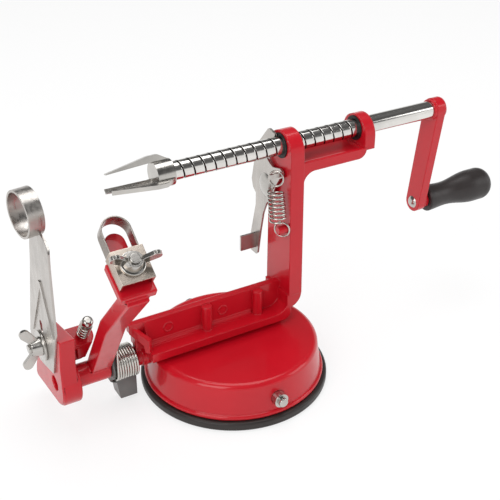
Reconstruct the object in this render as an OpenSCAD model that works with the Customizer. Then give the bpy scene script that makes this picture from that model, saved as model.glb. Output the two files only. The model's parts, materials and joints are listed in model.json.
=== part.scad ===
// Hand cranked apple peeler on a suction base.
// Frame: origin on the table under the feed shaft, about over the middle of
// the base, +X along the shaft towards the crank, +Y to the back, +Z up.
// All sizes in millimetres.

/* [Overall] */
// Height of the feed shaft's axis above the table
axis_z = 131.6; // [128:0.2:136]
// Height of the peel arm's pivot axis above the table
pivot_z = 26.7; // [25.5:0.1:28]
// Radial clearance of pieces that turn or slide on each other
run_gap = 0.05; // [0.02:0.01:0.1]
// Clearance round a piece that is fixed in its bore
seat_gap = 0.02; // [0.01:0.01:0.05]

/* [Base] */
// Place of the base's middle along the shaft
base_x = -2.6; // [-3:0.1:-2]
// Place of the base's middle across the shaft
base_y = -6.6; // [-7:0.1:-6]
// Radius of the rubber pad
pad_r = 53; // [52.4:0.1:56]
// Height of the pad's rim, where the shell stands
pad_h = 5; // [4.5:0.1:6]
// Thickness of the pad inside its rim
pad_floor = 3; // [2:0.1:3.4]
// Radius of the shell's beaded rim
rim_r = 50.8; // [50.6:0.1:51.4]
// Radius of the shell's wall at its foot
wall_r0 = 49.4; // [48.8:0.1:49.6]
// Radius of the shell's wall at its shoulder
wall_r1 = 47.4; // [46.4:0.1:48]
// Height of the shell's flat top
shell_top = 25.5; // [25:0.1:27]
// Thickness of the shell
shell_t = 2.6; // [2:0.1:3]
// Rounding of the shell's shoulder
shoulder_r = 3.6; // [3.2:0.1:5]

/* [Suction lock] */
// Height of the cam axle
axle_z = 14.5; // [14:0.1:14.8]
// Diameter of the cam axle at its front end
axle_d = 8; // [6:0.1:8.4]
// Radius of the axle at its back end
axle_back_r = 3; // [2.8:0.1:3.2]
// Radius of the axle between its two ends
axle_core_r = 2.6; // [2:0.1:2.7]
// Reach of the axle's slotted end from the base's middle
axle_front = 52.2; // [51.4:0.1:54]
// Radius of the eccentric cam
cam_r = 5.5; // [5:0.1:5.8]
// Offset of the cam from the axle
cam_off = 2; // [1:0.1:2.2]
// Radius of the disc on the stem's foot
stem_disc_r = 14; // [10:1:18]
// Thickness of the suction lever
lock_t = 3; // [2.6:0.1:4]
// Height of the suction lever
lock_h = 6; // [5:0.5:7]
// Angle of the suction lever's end round the base
lock_end = 44; // [35:1:60]

/* [Frame] */
// Left end of the rail
rail_x0 = -60; // [-60.3:0.1:-59]
// Left end of the rail's flange
flange_x0 = -54.8; // [-55.2:0.1:-54]
// Half width of the rail's flange
flange_y = 12; // [11:0.5:14]
// Underside of the rail's flange
flange_z0 = 28.4; // [28:0.1:29]
// Top of the rail's flange
flange_z1 = 33.2; // [32:0.1:34]
// Top of the rail's web
web_top = 48.9; // [45:0.1:52]
// Half thickness of the web
web_y = 2; // [1.5:0.1:3]
// Radius of the screw bosses on the web
web_boss_r = 2.9; // [2.5:0.1:3.2]
// Left face of the post
post_x = 30.35; // [30:0.05:31]
// Thickness of the post along the shaft
post_t = 8.25; // [7:0.25:9]
// Half width of the post at its foot
post_y = 12.2; // [11.5:0.1:13.5]
// Radius of the post's round top
head_r = 11; // [10.2:0.1:12]
// Height of the shaft above the middle of the round tops
top_drop = 2.8; // [2:0.1:3]
// Underside of the top arm
arm_z0 = 117.8; // [115:0.1:119]
// Top of the top arm
arm_z1 = 123.5; // [122:0.1:124]
// Left face of the rear lug
lug_x = 78.1; // [74:0.1:79]
// Thickness of the rear lug
lug_t = 6.5; // [5:0.5:7]
// Radius of the rear lug
lug_r = 10.6; // [10:0.1:11.5]
// Outside radius of the bushes
bush_r = 6.2; // [6:0.1:6.4]
// Radius of the thin collar on each bush
bush_collar_r = 6.9; // [6.7:0.1:7.4]
// Thickness of that collar
bush_collar_t = 0.6; // [0.4:0.05:0.7]

/* [Feed screw and crank] */
// Diameter of the feed shaft
shaft_d = 10; // [9.6:0.1:10.4]
// Travel of the shaft in one turn
pitch = 6; // [5:0.5:8]
// Depth of the thread groove
groove_depth = 0.5; // [0.45:0.05:0.7]
// Width of the groove at the surface
groove_w = 1; // [0.9:0.1:1.4]
// Width of the groove at its floor
groove_floor = 0.5; // [0.45:0.05:0.7]
// Left end of the thread
thread_x0 = -42; // [-44:0.5:-40]
// Right end of the thread
thread_x1 = 79; // [72:1:84]
// Right end of the fork's hub
fork_x = -34.2; // [-36:0.1:-33]
// Radius of the fork's hub
fork_r = 7; // [6.5:0.1:8]
// Reach of the fork's prongs from the hub's right end
fork_len = 34; // [26:1:36]
// Outer radius of the prongs
prong_r = 10.2; // [9:0.1:10.4]
// Left face of the crank arm's hub
crank_x = 129.9; // [128:0.1:134]
// Length of the crank arm's hub
crank_hub = 8.2; // [7:0.1:10]
// Thickness of the crank arm
crank_t = 5.6; // [4.5:0.1:6.5]
// Length of the crank arm between its two axes
crank_len = 64; // [55:1:75]
// Turn of the crank arm from straight down, towards the back
crank_turn = 7.7; // [0:0.1:20]
// Radius of the crank arm at the shaft
crank_r0 = 6.4; // [6:0.1:8]
// Radius of the crank arm at the grip
crank_r1 = 5.9; // [5:0.1:7]
// Diameter of the pin that the grip turns on
pin_d = 5; // [4:0.1:6]
// Length of the grip
grip_len = 49.5; // [45:0.5:60]
// Radius of the grip's foot
grip_r0 = 8; // [7:0.1:9]
// Radius of the grip's waist
grip_r1 = 7.2; // [6.4:0.1:8]
// Radius of the grip's bulb
grip_r2 = 10; // [9:0.1:12]

/* [Release lever] */
// Left face of the release lever
lever_x = 28.2; // [28:0.05:28.25]
// Thickness of the lever's sheet
lever_t = 1.2; // [1:0.05:1.25]
// Distance of the lever's pivot behind the shaft
lever_y = 10.8; // [10:0.1:11.2]
// Height of the lever's pivot below the shaft
lever_drop = 27.6; // [27:0.1:28]
// Radius of the pivot screw's head
lever_head_r = 7.2; // [5:0.1:7.6]
// Angle round the shaft where the lever's tooth sits in the thread
tooth_at = 45; // [42:1:48]
// Wire of the lever's spring
lspring_wire = 1.1; // [0.8:0.05:1.3]
// Outside diameter of the lever's spring
lspring_od = 8.8; // [8.2:0.1:9]
// Turns of the lever's spring
lspring_turns = 8; // [6:1:8]

/* [Peel arm] */
// Radius of the pivot rod
rod_r = 4.2; // [3.8:0.1:4.4]
// Radius of the peel arm's sleeve
sleeve_r = 6.3; // [5.8:0.1:7]
// Left face of the peel arm
parm_x = -87; // [-88:0.1:-86]
// Width of the peel arm
parm_w = 11; // [10:0.1:12]
// Thickness of the peel arm seen from the side
parm_t = 8; // [7.4:0.1:8.4]
// Width of the seat for the peel blade
seat_w = 17.8; // [17.2:0.1:19]
// Slope of that seat
seat_slope = 31; // [30:0.5:34]
// Thickness of the seat
seat_t = 4.6; // [4:0.1:5.5]
// Slope of the clamp plate and peel blade
head_slope = 37; // [36:0.5:38]
// Width of the clamp plate
clamp_w = 16.3; // [16:0.1:17]
// Length of the clamp plate
clamp_len = 16.8; // [15:0.1:18]
// Sheet thickness of the clamp plate
clamp_t = 1.2; // [1:0.05:1.4]
// Width of the peel blade's loop
loop_w = 13.2; // [12.4:0.1:13.4]
// Height of the peel blade's strip
strip_h = 5; // [4:0.1:5.4]
// Thickness of the peel blade's strip
strip_t = 0.8; // [0.6:0.05:1]
// Reach of the peel blade's loop from the plate's lower edge
loop_reach = 36; // [33:0.1:36.6]
// Diameter of the studs that carry the wing nuts
stud_d = 5; // [4:0.1:5.6]
// Span of the wing nuts
wing_span = 24; // [20:0.1:25]
// Wire of the arm's torsion spring
aspring_wire = 1.45; // [1.2:0.05:1.45]
// Outside diameter of the arm's torsion spring
aspring_od = 18.8; // [18:0.1:19]
// Turns of the arm's torsion spring
aspring_turns = 6; // [5:1:6]
// Rise of the torsion spring with each turn
aspring_pitch = 1.88; // [1.87:0.01:1.9]

/* [End bracket and core blade] */
// Left face of the end bracket
end_x = -105.5; // [-106.5:0.1:-105]
// Thickness of the end bracket
end_t = 8.5; // [7.5:0.1:9]
// Radius of the end bracket's boss round the rod
end_boss_r = 11.8; // [10.5:0.1:12.5]
// Place of the stop screw along the rod
stop_x = -86.2; // [-86.6:0.1:-85.4]
// Radius of the stop screw's head
stop_head_r = 3.5; // [3:0.1:3.6]
// Thickness of the core blade's sheet
blade_t = 1.2; // [0.8:0.1:1.5]
// Outside radius of the coring ring
ring_r = 12; // [11:0.1:13]
// How far the ring hangs below the shaft
ring_drop = 3.2; // [0:0.1:4]
// Length of the coring ring
ring_len = 8.2; // [6:0.1:10]
// Distance of the blade's bolt behind the rod
bolt_y = 9.7; // [9:0.1:10.5]
// Height of the blade's bolt
bolt_z = 45.4; // [44:0.1:46]
// Radius of the flanged washer under the blade's nut
washer_r = 8.3; // [7:0.1:8.6]

/* [Hidden] */
$fn = 64;
shaft_r = shaft_d / 2;
stud_r = stud_d / 2;
axle_r = axle_d / 2;
post_x1 = post_x + post_t;
lug_x1 = lug_x + lug_t;
corner_z = flange_z1 + 10.6;
shell_in = shell_top - shell_t;
// Places of the two screws that hold the frame on the base
frame_screw_x = [-17.6, 14.6];
frame_screw_y = -web_y - 1.6;
frame_screw_r = 1.5;
frame_screw_len = 12.5;
pedestal_y = 8;
// Radius of the round that the suction lever follows
lock_r = max(rim_r, wall_r0 + 1.4) + 1.2;
// The crank's two axes
pin_y = crank_len * sin(crank_turn);
pin_z = axis_z - crank_len * cos(crank_turn);
crank_x1 = crank_x + crank_hub;
arm_x0 = crank_x + 1.6;
arm_x1 = arm_x0 + crank_t;
pin_boss_x = arm_x1 + 3.2;
grip_x = pin_boss_x + 0.3;
// Release lever
lever_z = axis_z - lever_drop;
lever_mid = lever_x + lever_t / 2;
peg = [0, -9.4, axis_z - 45.4];
peg_r = 2.3;
hook = [0, -5, axis_z - 16.5];
// The groove passes the lever's tooth at this place
groove_phase = lever_mid - pitch * tooth_at / 360;
// Peel arm
parm_x1 = parm_x + parm_w;
sleeve_x0 = end_x + end_t + 2.3;
collar_x1 = parm_x1 + 0.5;
collar_t = 1.3;
rod_end = base_x - wall_r0 - 0.9;
head_x = -81;
seat_at = [-62.8, axis_z - 23.6];
head_at = [-62.8, axis_z - 16.4];
stud_s = 8.6;
clamp_in = clamp_w / 2 - clamp_t;
// Stop screw: where it leaves the ear, and its lean
stop_at = [6, pivot_z + 20.1];
stop_lean = 35.2;
stop_shank_r = 2;
stop_gap = 12.4;
// Inner end of the core blade's bolt
bolt_end = end_x + end_t - 1.2;
ear_t = 4.6;

// Name of the one piece to draw, or all of them

// Draws a flat shape given in Y and Z, as a plate along X.
module yz_plate(x0, t) {
    translate([x0, 0, 0]) rotate([90, 0, 90]) linear_extrude(t) children();
}

// Draws a flat shape given in X and Z, as a bar of width w along Y.
module xz_bar(w, y = 0) {
    translate([0, y + w / 2, 0]) rotate([90, 0, 0]) linear_extrude(w) children();
}

// Round bar along X.
module x_rod(x0, x1, r, y = 0, z = 0) {
    translate([x0, y, z]) rotate([0, 90, 0]) cylinder(h = x1 - x0, r = r);
}

// Round bar along Y.
module y_rod(y0, y1, r, x = 0, z = 0) {
    translate([x, y1, z]) rotate([90, 0, 0]) cylinder(h = y1 - y0, r = r);
}

// Flat link with two round ends of different size.
module link(p, rp, q, rq) {
    v = q - p;
    a = atan2(v.y, v.x);
    b = acos((rp - rq) / norm(v));
    u0 = [cos(a + b), sin(a + b)];
    u1 = [cos(a - b), sin(a - b)];
    translate(p) circle(rp);
    translate(q) circle(rq);
    polygon([p + rp * u0, q + rq * u0, q + rq * u1, p + rp * u1]);
}

// Fills the inside of a square corner at p with a round of radius r.
module corner_fill(p, r, sx, sy) {
    translate(p) difference() {
        translate([min(0, sx * r), min(0, sy * r)]) square(r);
        translate([sx * r, sy * r]) circle(r);
    }
}

// Wire of radius r along a list of points, with six sides. The turning of
// its section is carried on from point to point, so the wire never twists.
function unit(v) = v / norm(v);
function tangents(p) = [for (i = [0:len(p) - 1])
    unit(p[min(i + 1, len(p) - 1)] - p[max(i - 1, 0)])];
function carried(t, i, n) = i == len(t) ? [] :
    let (m = unit(n - (n * t[i]) * t[i])) concat([m], carried(t, i + 1, m));
module wire(p, r, first) {
    t = tangents(p);
    n = carried(t, 0, first);
    last = len(p) - 1;
    pts = [for (i = [0:last], k = [0:5])
        p[i] + r * (cos(60 * k) * n[i] + sin(60 * k) * cross(t[i], n[i]))];
    side = [for (i = [0:last - 1], k = [0:5]) let (a = 6 * i + k, b = 6 * i + (k + 1) % 6)
        each [[a, a + 6, b], [b, a + 6, b + 6]]];
    end0 = [for (k = [1:4]) [0, k, k + 1]];
    end1 = [for (k = [1:4]) [6 * last, 6 * last + k + 1, 6 * last + k]];
    polyhedron(pts, concat(side, end0, end1));
}
// Least gap between parts of a wire that aren't neighbours along it.
function least_gap(p, r, skip) = min([for (i = [0:len(p) - 1 - skip],
    j = [i + skip:len(p) - 1]) norm(p[i] - p[j])]) - 2 * r;

// Base

// Moves to the middle of the base.
module on_base() {
    translate([base_x, base_y, 0]) children();
}

module base_pad() {
    color("#2b2a2c") on_base() rotate_extrude() difference() {
        union() {
            square([pad_r - 1.5, pad_h]);
            translate([pad_r - 1.5, 1.5]) circle(1.5);
            translate([pad_r - 1.5, pad_h - 1.5]) circle(1.5);
            translate([pad_r - 3, 1.5]) square([3, pad_h - 3]);
        }
        translate([-1, pad_floor]) square([wall_r0 - shell_t - 1.8, pad_h]);
        translate([-10, -1]) square([10, pad_h + 2]);
    }
}

// Outside of the shell, from its foot to its flat top.
module shell_outside() {
    top = shell_top - shoulder_r;
    bead = 1.5;
    polygon([[0, pad_h], [wall_r0, pad_h], [wall_r0, pad_h + 2.4], [wall_r1, top], [0, top]]);
    translate([wall_r1 - shoulder_r, top]) circle(shoulder_r);
    square([wall_r1 - shoulder_r, shell_top]);
    translate([rim_r - bead, pad_h + bead]) circle(bead);
    translate([wall_r0 - 1.2, pad_h]) square([rim_r - bead - wall_r0 + 1.2, 2 * bead]);
}

module base_shell() {
    r_in = shoulder_r - shell_t;
    top = shell_top - shoulder_r;
    color("#c01525") difference() {
        on_base() rotate_extrude() difference() {
            intersection() {
                shell_outside();
                translate([0, pad_h]) square([pad_r, shell_top]);
            }
            polygon([[-1, 0], [wall_r0 - shell_t, 0], [wall_r0 - shell_t, pad_h + 2.4],
                [wall_r1 - shell_t, top], [-1, top]]);
            translate([wall_r1 - shoulder_r, top]) circle(r_in);
            translate([-1, pad_h]) square([wall_r1 - shoulder_r + 1, shell_in - pad_h]);
        }
        on_base() y_rod(-pad_r, 0, axle_r + run_gap, 0, axle_z);
        on_base() y_rod(0, pad_r, axle_back_r + run_gap, 0, axle_z);
        for (x = frame_screw_x)
            translate([x, frame_screw_y, 0]) cylinder(h = shell_top + 1, r = frame_screw_r + seat_gap);
    }
}

// Suction lock

module cam_axle() {
    color("#b9b9b6") on_base() difference() {
        union() {
            y_rod(-axle_front, -wall_r0 + 6, axle_r, 0, axle_z);
            y_rod(-wall_r0, wall_r0, axle_core_r, 0, axle_z);
            y_rod(wall_r0 - 6, lock_r + lock_t + 0.3, axle_back_r, 0, axle_z);
        }
        translate([0, -axle_front, axle_z]) rotate([0, 40, 0])
            cube([axle_d + 1, 6, 1.8], center = true);
    }
}

module suction_cam() {
    color("#d8d4c8") on_base() difference() {
        y_rod(-4.2, 4.2, cam_r, 0, axle_z - cam_off);
        y_rod(-5, 5, axle_core_r + seat_gap, 0, axle_z);
    }
}

// The lever lies against the back of the base and ends in a thumb knob.
module suction_lever() {
    end = [(lock_r + lock_t / 2) * cos(lock_end), (lock_r + lock_t / 2) * sin(lock_end)];
    color("#b9b9b6") on_base() difference() {
        union() {
            intersection() {
                translate([0, 0, axle_z - lock_h / 2]) difference() {
                    cylinder(h = lock_h, r = lock_r + lock_t, $fn = 128);
                    translate([0, 0, -1]) cylinder(h = lock_h + 2, r = lock_r, $fn = 128);
                }
                linear_extrude(axle_z + lock_h)
                    polygon([[0, 0], [0, 90], [90 * cos(lock_end), 90], 90 * [cos(lock_end), sin(lock_end)]]);
            }
            translate([end.x, end.y, axle_z - lock_h / 2]) cylinder(h = lock_h, r = lock_t * 0.8);
            y_rod(lock_r, lock_r + lock_t, axle_back_r + 1.2, 0, axle_z);
        }
        y_rod(lock_r - 4, lock_r + lock_t + 2, axle_back_r + seat_gap, 0, axle_z);
        translate([0, lock_r + lock_t / 2, 0]) cylinder(h = 3 * axle_z, r = 1 + seat_gap);
    }
}

// Cross pin that holds the lever on the axle.
module lever_pin() {
    z = axle_z + axle_back_r + 0.1;
    color("#8f8f8c") on_base() translate([0, lock_r + lock_t / 2, z]) cylinder(h = 1.2, r = 1);
}

module suction_stem() {
    bar = axle_z + cam_r - cam_off + 0.4;
    bar_t = 2;
    color("#9c9c98") on_base() {
        translate([0, 0, pad_floor + 0.2]) cylinder(h = 1.2, r = stem_disc_r);
        difference() {
            translate([-6.6, -7, pad_floor + 1]) cube([13.2, 14, bar + bar_t - pad_floor - 1]);
            translate([-10, -4.6, pad_floor + 1.4]) cube([20, 9.2, bar - pad_floor - 1.4]);
            translate([-axle_core_r - 0.4, -10, axle_z - axle_core_r - cam_off - 0.5])
                cube([2 * axle_core_r + 0.8, 20, 2 * axle_core_r + cam_off + 0.7]);
        }
    }
}

// Frame

module rail() {
    yz_plate(rail_x0, post_x - rail_x0)
        translate([-web_y, flange_z0]) square([2 * web_y, web_top - flange_z0]);
    // the flange turns up into the foot of the post
    bend = flange_z1 - flange_z0;
    bend_x = post_x + 1.6 - bend;
    xz_bar(2 * flange_y) {
        translate([flange_x0, flange_z0]) square([bend_x - flange_x0, bend]);
        intersection() {
            translate([bend_x, flange_z1]) circle(bend);
            translate([bend_x - 0.1, flange_z0 - 1]) square(bend + 1);
        }
        translate([post_x, flange_z1 - 0.4]) square([1.6, corner_z - flange_z1 + 0.4]);
        intersection() {
            translate([post_x, corner_z]) circle(post_t);
            translate([post_x - 1, corner_z - post_t - 1]) square([post_t + 1, post_t + 1.5]);
        }
        corner_fill([post_x, flange_z1], 8, -1, 1);
    }
    xz_bar(2 * pedestal_y)
        translate([-38, shell_top]) square([post_x + 36, flange_z0 - shell_top + 1]);
    // end wall of the rail, from the web down to the flange
    yz_plate(flange_x0 - 3.4, 3.6)
        polygon([[-8.6, flange_z1 - 2], [-8.6, flange_z1 + 5.6], [-web_y, web_top],
            [web_y, web_top], [8.6, flange_z1 + 5.6], [8.6, flange_z1 - 2]]);
    for (x = frame_screw_x)
        translate([x, frame_screw_y, flange_z0]) cylinder(h = web_top - flange_z0 - 1, r = web_boss_r);
    // boss that holds the rod
    x_rod(rail_x0, rod_end + 0.6, rod_r + 0.9, 0, pivot_z);
    x_rod(flange_x0 - 2.4, rod_end + 0.6, rod_r + 1.5, 0, pivot_z);
}

module post() {
    yz_plate(post_x, post_t) {
        polygon([[-post_y, corner_z - 0.2], [post_y, corner_z - 0.2],
            [head_r, axis_z - top_drop], [-head_r, axis_z - top_drop]]);
        translate([0, axis_z - top_drop]) circle(head_r);
    }
    xz_bar(2 * head_r) {
        translate([post_x1 - 1, arm_z0]) square([lug_x - post_x1 - 3, arm_z1 - arm_z0]);
        intersection() {
            translate([lug_x - 4, arm_z0 + 5]) circle(5);
            translate([lug_x - 4.5, arm_z0 - 1]) square([5.5, arm_z1 - arm_z0 + 1]);
        }
        corner_fill([post_x1, arm_z0], 7, 1, -1);
    }
    yz_plate(lug_x, lug_t) {
        translate([0, axis_z - top_drop]) circle(lug_r);
        translate([-lug_r, arm_z1 - 1.6]) square([2 * lug_r, axis_z - top_drop - arm_z1 + 1.6]);
    }
    // lug for the lever's pivot, and the peg for its spring
    x_rod(lever_x + lever_t + run_gap, post_x1, 5.6, lever_y, lever_z);
    x_rod(23.6, post_x + 1, peg_r, peg.y, peg.z);
}

module frame() {
    color("#c01525") difference() {
        union() {
            rail();
            post();
        }
        // shallow trough along the top arm, inside its rim
        translate([post_x1 + 1.5, -head_r + 2.2, arm_z1 - 1.3])
            cube([lug_x - post_x1 - 3, 2 * head_r - 4.4, 3]);
        x_rod(post_x - 1, post_x1 + 1, bush_r + run_gap, 0, axis_z);
        x_rod(lug_x - 1, lug_x1 + 1, bush_r + run_gap, 0, axis_z);
        x_rod(post_x - 3, post_x1 + 1, 2 + seat_gap, lever_y, lever_z);
        x_rod(rail_x0 - 1, rod_end + 0.1, rod_r + seat_gap, 0, pivot_z);
        for (x = frame_screw_x)
            translate([x, frame_screw_y, 0])
                cylinder(h = shell_in + frame_screw_len + 1, r = frame_screw_r + seat_gap);
    }
}

module frame_screws() {
    color("#9c9c98") for (x = frame_screw_x)
        translate([x, frame_screw_y, shell_in - 1.8]) {
            cylinder(h = 1.8 - seat_gap, r = 2.9);
            cylinder(h = frame_screw_len + 1.8, r = frame_screw_r);
        }
}

// Bush with a thin collar on its left side.
module bush(x, t) {
    color("#1c1b1d") difference() {
        union() {
            x_rod(x - run_gap, x + t, bush_r, 0, axis_z);
            x_rod(x - run_gap - bush_collar_t, x - run_gap, bush_collar_r, 0, axis_z);
        }
        x_rod(x - 2, x + t + 1, shaft_r + run_gap, 0, axis_z);
    }
}

module front_bush() {
    bush(post_x, post_t);
}

module rear_bush() {
    bush(lug_x, lug_t);
}

// Feed

// Threaded bar along X. Its lands run straight between the turns of one
// helical groove, and the groove ends in a run-out at each side.
module thread(x0, x1) {
    m = 24;
    lead = groove_w / 2 + 0.6;
    first = groove_phase + pitch * ceil((x0 + lead - groove_phase) / pitch);
    turns = floor((x1 - lead - first) / pitch);
    k = 4 * turns + 2;
    r = shaft_r - 0.02;
    across = [[-groove_w / 2, r], [-groove_floor / 2, r - groove_depth],
        [groove_floor / 2, r - groove_depth], [groove_w / 2, r]];
    function spot(j, x, q) = [x, q * cos(360 * j / m), q * sin(360 * j / m)];
    pts = [for (j = [0:m - 1]) each concat([spot(j, x0, r)],
        [for (n = [0:turns - 1], c = across) spot(j, first + pitch * (n + j / m) + c[0], c[1])],
        [spot(j, x1, r)])];
    a = (m - 1) * k;
    side = [for (j = [0:m - 2], i = [0:k - 2]) let (p = j * k + i)
        each [[p, p + 1, p + k], [p + 1, p + k + 1, p + k]]];
    seam0 = [for (i = [0:3]) [a, i + 1, i]];
    seam = [for (i = [0:k - 7]) each [[a + i, a + i + 1, i + 4], [a + i + 1, i + 5, i + 4]]];
    seam1 = concat([[a + k - 6, k - 1, k - 2]],
        [for (i = [k - 6:k - 2]) [a + i, a + i + 1, k - 1]]);
    left = [for (j = [1:m - 2]) [0, j * k, (j + 1) * k]];
    right = [for (j = [1:m - 2]) [k - 1, (j + 1) * k + k - 1, j * k + k - 1]];
    polyhedron(pts, concat(side, seam0, seam, seam1, left, right));
}

module feed_screw() {
    color("#c9c9c6") {
        translate([0, 0, axis_z]) thread(thread_x0, thread_x1);
        difference() {
            x_rod(thread_x1 - 0.5, crank_x1 - 0.2, shaft_r, 0, axis_z);
            x_rod(crank_x1 - 9, crank_x1 + 1, 1.5 + seat_gap, 0, axis_z);
        }
    }
}

// One prong, drawn along -X with its flat side facing round the shaft.
module prong() {
    tip = fork_x - fork_len;
    xz_bar(2.6) polygon([[fork_x - 0.6, shaft_r + 1], [fork_x - 0.6, fork_r], [fork_x - 6, prong_r],
        [fork_x - 11, prong_r], [tip, prong_r - 4], [tip, prong_r - 4.6],
        [fork_x - 11, prong_r - 3.6], [fork_x - 9, shaft_r + 1]]);
}

module fork() {
    color("#b9b9b6") translate([0, 0, axis_z]) difference() {
        union() {
            x_rod(fork_x - 9.5, fork_x, fork_r);
            for (a = [-20, 100, 220])
                rotate([a, 0, 0]) prong();
        }
        x_rod(thread_x0 - 0.1, fork_x + 1, shaft_r + seat_gap);
    }
}

module crank_arm() {
    p = [0, axis_z];
    q = [pin_y, pin_z];
    color("#c01525") difference() {
        union() {
            yz_plate(arm_x0, crank_t) link(p, crank_r0, q, crank_r1);
            x_rod(crank_x, crank_x1, crank_r0 - 0.4, 0, axis_z);
            x_rod(arm_x0, pin_boss_x, crank_r1 - 0.8, pin_y, pin_z);
        }
        x_rod(crank_x - 1, crank_x1 + 1, shaft_r + seat_gap, 0, axis_z);
        x_rod(crank_x - 1, pin_boss_x + 1, pin_d / 2 + seat_gap, pin_y, pin_z);
    }
}

// Screw in the end of the shaft that keeps the crank arm on.
module crank_screw() {
    color("#b9b9b6") {
        x_rod(crank_x1 - 8, crank_x1 + 0.1, 1.5, 0, axis_z);
        difference() {
            x_rod(crank_x1 + 0.05, crank_x1 + 2.2, 4.4, 0, axis_z);
            translate([crank_x1 + 2.2, 0, axis_z]) cube([1.6, 1, 12], center = true);
        }
    }
}

// Pin of the grip, with a rounded rivet head on the inner side.
module grip_pin() {
    h = 1.8;
    r = 3.7;
    ball = (r * r + h * h) / (2 * h);
    color("#b9b9b6") {
        x_rod(arm_x0 - 0.1, grip_x + grip_len - 9, pin_d / 2, pin_y, pin_z);
        translate([arm_x0 - seat_gap, pin_y, pin_z]) rotate([0, -90, 0]) intersection() {
            translate([0, 0, h - ball]) sphere(ball);
            cylinder(h = h + 1, r = r);
        }
    }
}

// Radius of the grip at part u of its length: foot, waist and bulb.
function grip_at(u) = u < 0.28
    ? grip_r1 + (grip_r0 - grip_r1) * (1 + cos(180 * u / 0.28)) / 2
    : grip_r1 + (grip_r2 - grip_r1) * (1 - cos(180 * (u - 0.28) / 0.44)) / 2;
module handle_grip() {
    e = 7.5;
    top = grip_len - e;
    color("#2d2c31") translate([grip_x, pin_y, pin_z]) rotate([0, 90, 0]) difference() {
        rotate_extrude() {
            polygon(concat([[0, 0], [grip_r0 - 0.7, 0]],
                [for (i = [0:20]) let (u = i / 20 * 0.72) [grip_at(u), max(0.7, u * grip_len)]],
                [[grip_r2, top], [0, top]]));
            translate([0, top - 0.5]) square([grip_r2 - e, e + 0.5]);
            intersection() {
                translate([grip_r2 - e, top]) circle(e);
                translate([0, top - 0.5]) square(2 * grip_r2);
            }
        }
        translate([0, 0, -1]) cylinder(h = grip_len - 7, r = pin_d / 2 + run_gap);
    }
}

// Release lever

// Sheet lever behind the shaft, seen along X.
module lever_outline() {
    z = axis_z;
    difference() {
        polygon([[7.6, z + 7], [9.6, z + 6.4], [20.9, z - 6.8], [23.9, z - 18.8], [26.4, z - 29.8],
            [25, z - 34.5], [21.8, z - 36.8], [21.8, z - 44], [27.1, z - 64.5], [28.5, z - 75],
            [27, z - 76.4], [21, z - 76.4], [19.6, z - 75], [16.7, z - 59.1], [13.8, z - 46.4],
            [10.4, z - 38.8], [3.6, z - 31], [1, z - 24], [-3, z - 18], [-5.6, z - 16.4],
            [-5.6, z - 12.8], [-3, z - 12], [4, z - 14], [7.4, z - 13], [10.6, z - 11],
            [9.8, z - 7.6], [3.6, z - 2], [2.4, z + 5.6]]);
        translate([0, z]) circle(shaft_r + 0.3);
    }
}

module release_lever() {
    color("#b4b3ae") {
        difference() {
            yz_plate(lever_x, lever_t) lever_outline();
            x_rod(lever_x - 1, lever_x + 3, 3 + run_gap, lever_y, lever_z);
        }
        // tooth that runs in the thread
        translate([lever_mid, 0, axis_z]) rotate([tooth_at, 0, 0])
            translate([-0.15, shaft_r - 0.25, -0.3]) cube([0.3, 1.15, 0.6]);
        // thumb tab
        translate([lever_x - 9.6, 21.9, axis_z - 72.4]) cube([9.7, 1.2, 9.6]);
        // finger for the spring
        translate([lever_x - 7.4, hook.y - 0.6, hook.z + 0.8]) cube([7.5, 1.2, 2.6]);
    }
}

module lever_screw() {
    h = 2.4;
    ball = (lever_head_r * lever_head_r + h * h) / (2 * h);
    color("#c4c3bf") {
        x_rod(lever_x - run_gap - 0.1, lever_x + lever_t, 3, lever_y, lever_z);
        x_rod(lever_x, post_x1 - 1, 2, lever_y, lever_z);
        translate([lever_x - run_gap, lever_y, lever_z]) rotate([0, -90, 0]) intersection() {
            translate([0, 0, h - ball]) sphere(ball);
            cylinder(h = h + 1, r = lever_head_r);
        }
    }
}

// Pull spring with a loop at each end, from the peg up to the lever.
lspring_r = lspring_wire / 2;
loop_c = 4.3;
coil_c = lspring_od / 2 - lspring_r;
lspring_lo = [25.6, peg.y, peg.z + 0.9];
lspring_hi = [24.6, hook.y, hook.z];
lspring_w = unit(lspring_hi - lspring_lo);
lspring_v = unit(cross(lspring_w, [-0.7, -0.7, 0]));
lspring_n = cross(lspring_v, lspring_w);
lspring_len = norm(lspring_hi - lspring_lo);
function lspring_at(a, h, r) = lspring_lo + h * lspring_w + r * (cos(a) * lspring_v + sin(a) * lspring_n);
function ring_at(c, a) = c + loop_c * (cos(a) * lspring_v + sin(a) * lspring_w);
function curve4(a, b, c, d, u) = pow(1 - u, 3) * a + 3 * u * pow(1 - u, 2) * b + 3 * u * u * (1 - u) * c
    + pow(u, 3) * d;
coil_h0 = loop_c + 2;
coil_h1 = lspring_len - loop_c - 2;
coil_step = (coil_h1 - coil_h0) / lspring_turns;
function coil_pt(a) = lspring_at(180 + a, coil_h0 + coil_step * a / 360, coil_c);
coil_start = coil_pt(0);
coil_stop = coil_pt(360 * lspring_turns);
lspring_path = concat(
    [for (a = [110:-40:-170]) ring_at(lspring_lo, a)],
    [for (u = [0.1:0.3:0.7]) curve4(ring_at(lspring_lo, -180), ring_at(lspring_lo, -180) + 1.8 * lspring_w,
        coil_start + 2.2 * lspring_n, coil_start, u)],
    [for (i = [0:8 * lspring_turns]) coil_pt(45 * i)],
    [for (u = [0.3:0.3:0.9]) curve4(coil_stop, coil_stop - 2.2 * lspring_n,
        ring_at(lspring_hi, 180) - 1.8 * lspring_w, ring_at(lspring_hi, 180), u)],
    [for (a = [170:-40:-110]) ring_at(lspring_hi, a)]);
module lever_spring() {
    color("#8b8a86") wire(lspring_path, lspring_r, lspring_n);
}

// Peel arm

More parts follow.
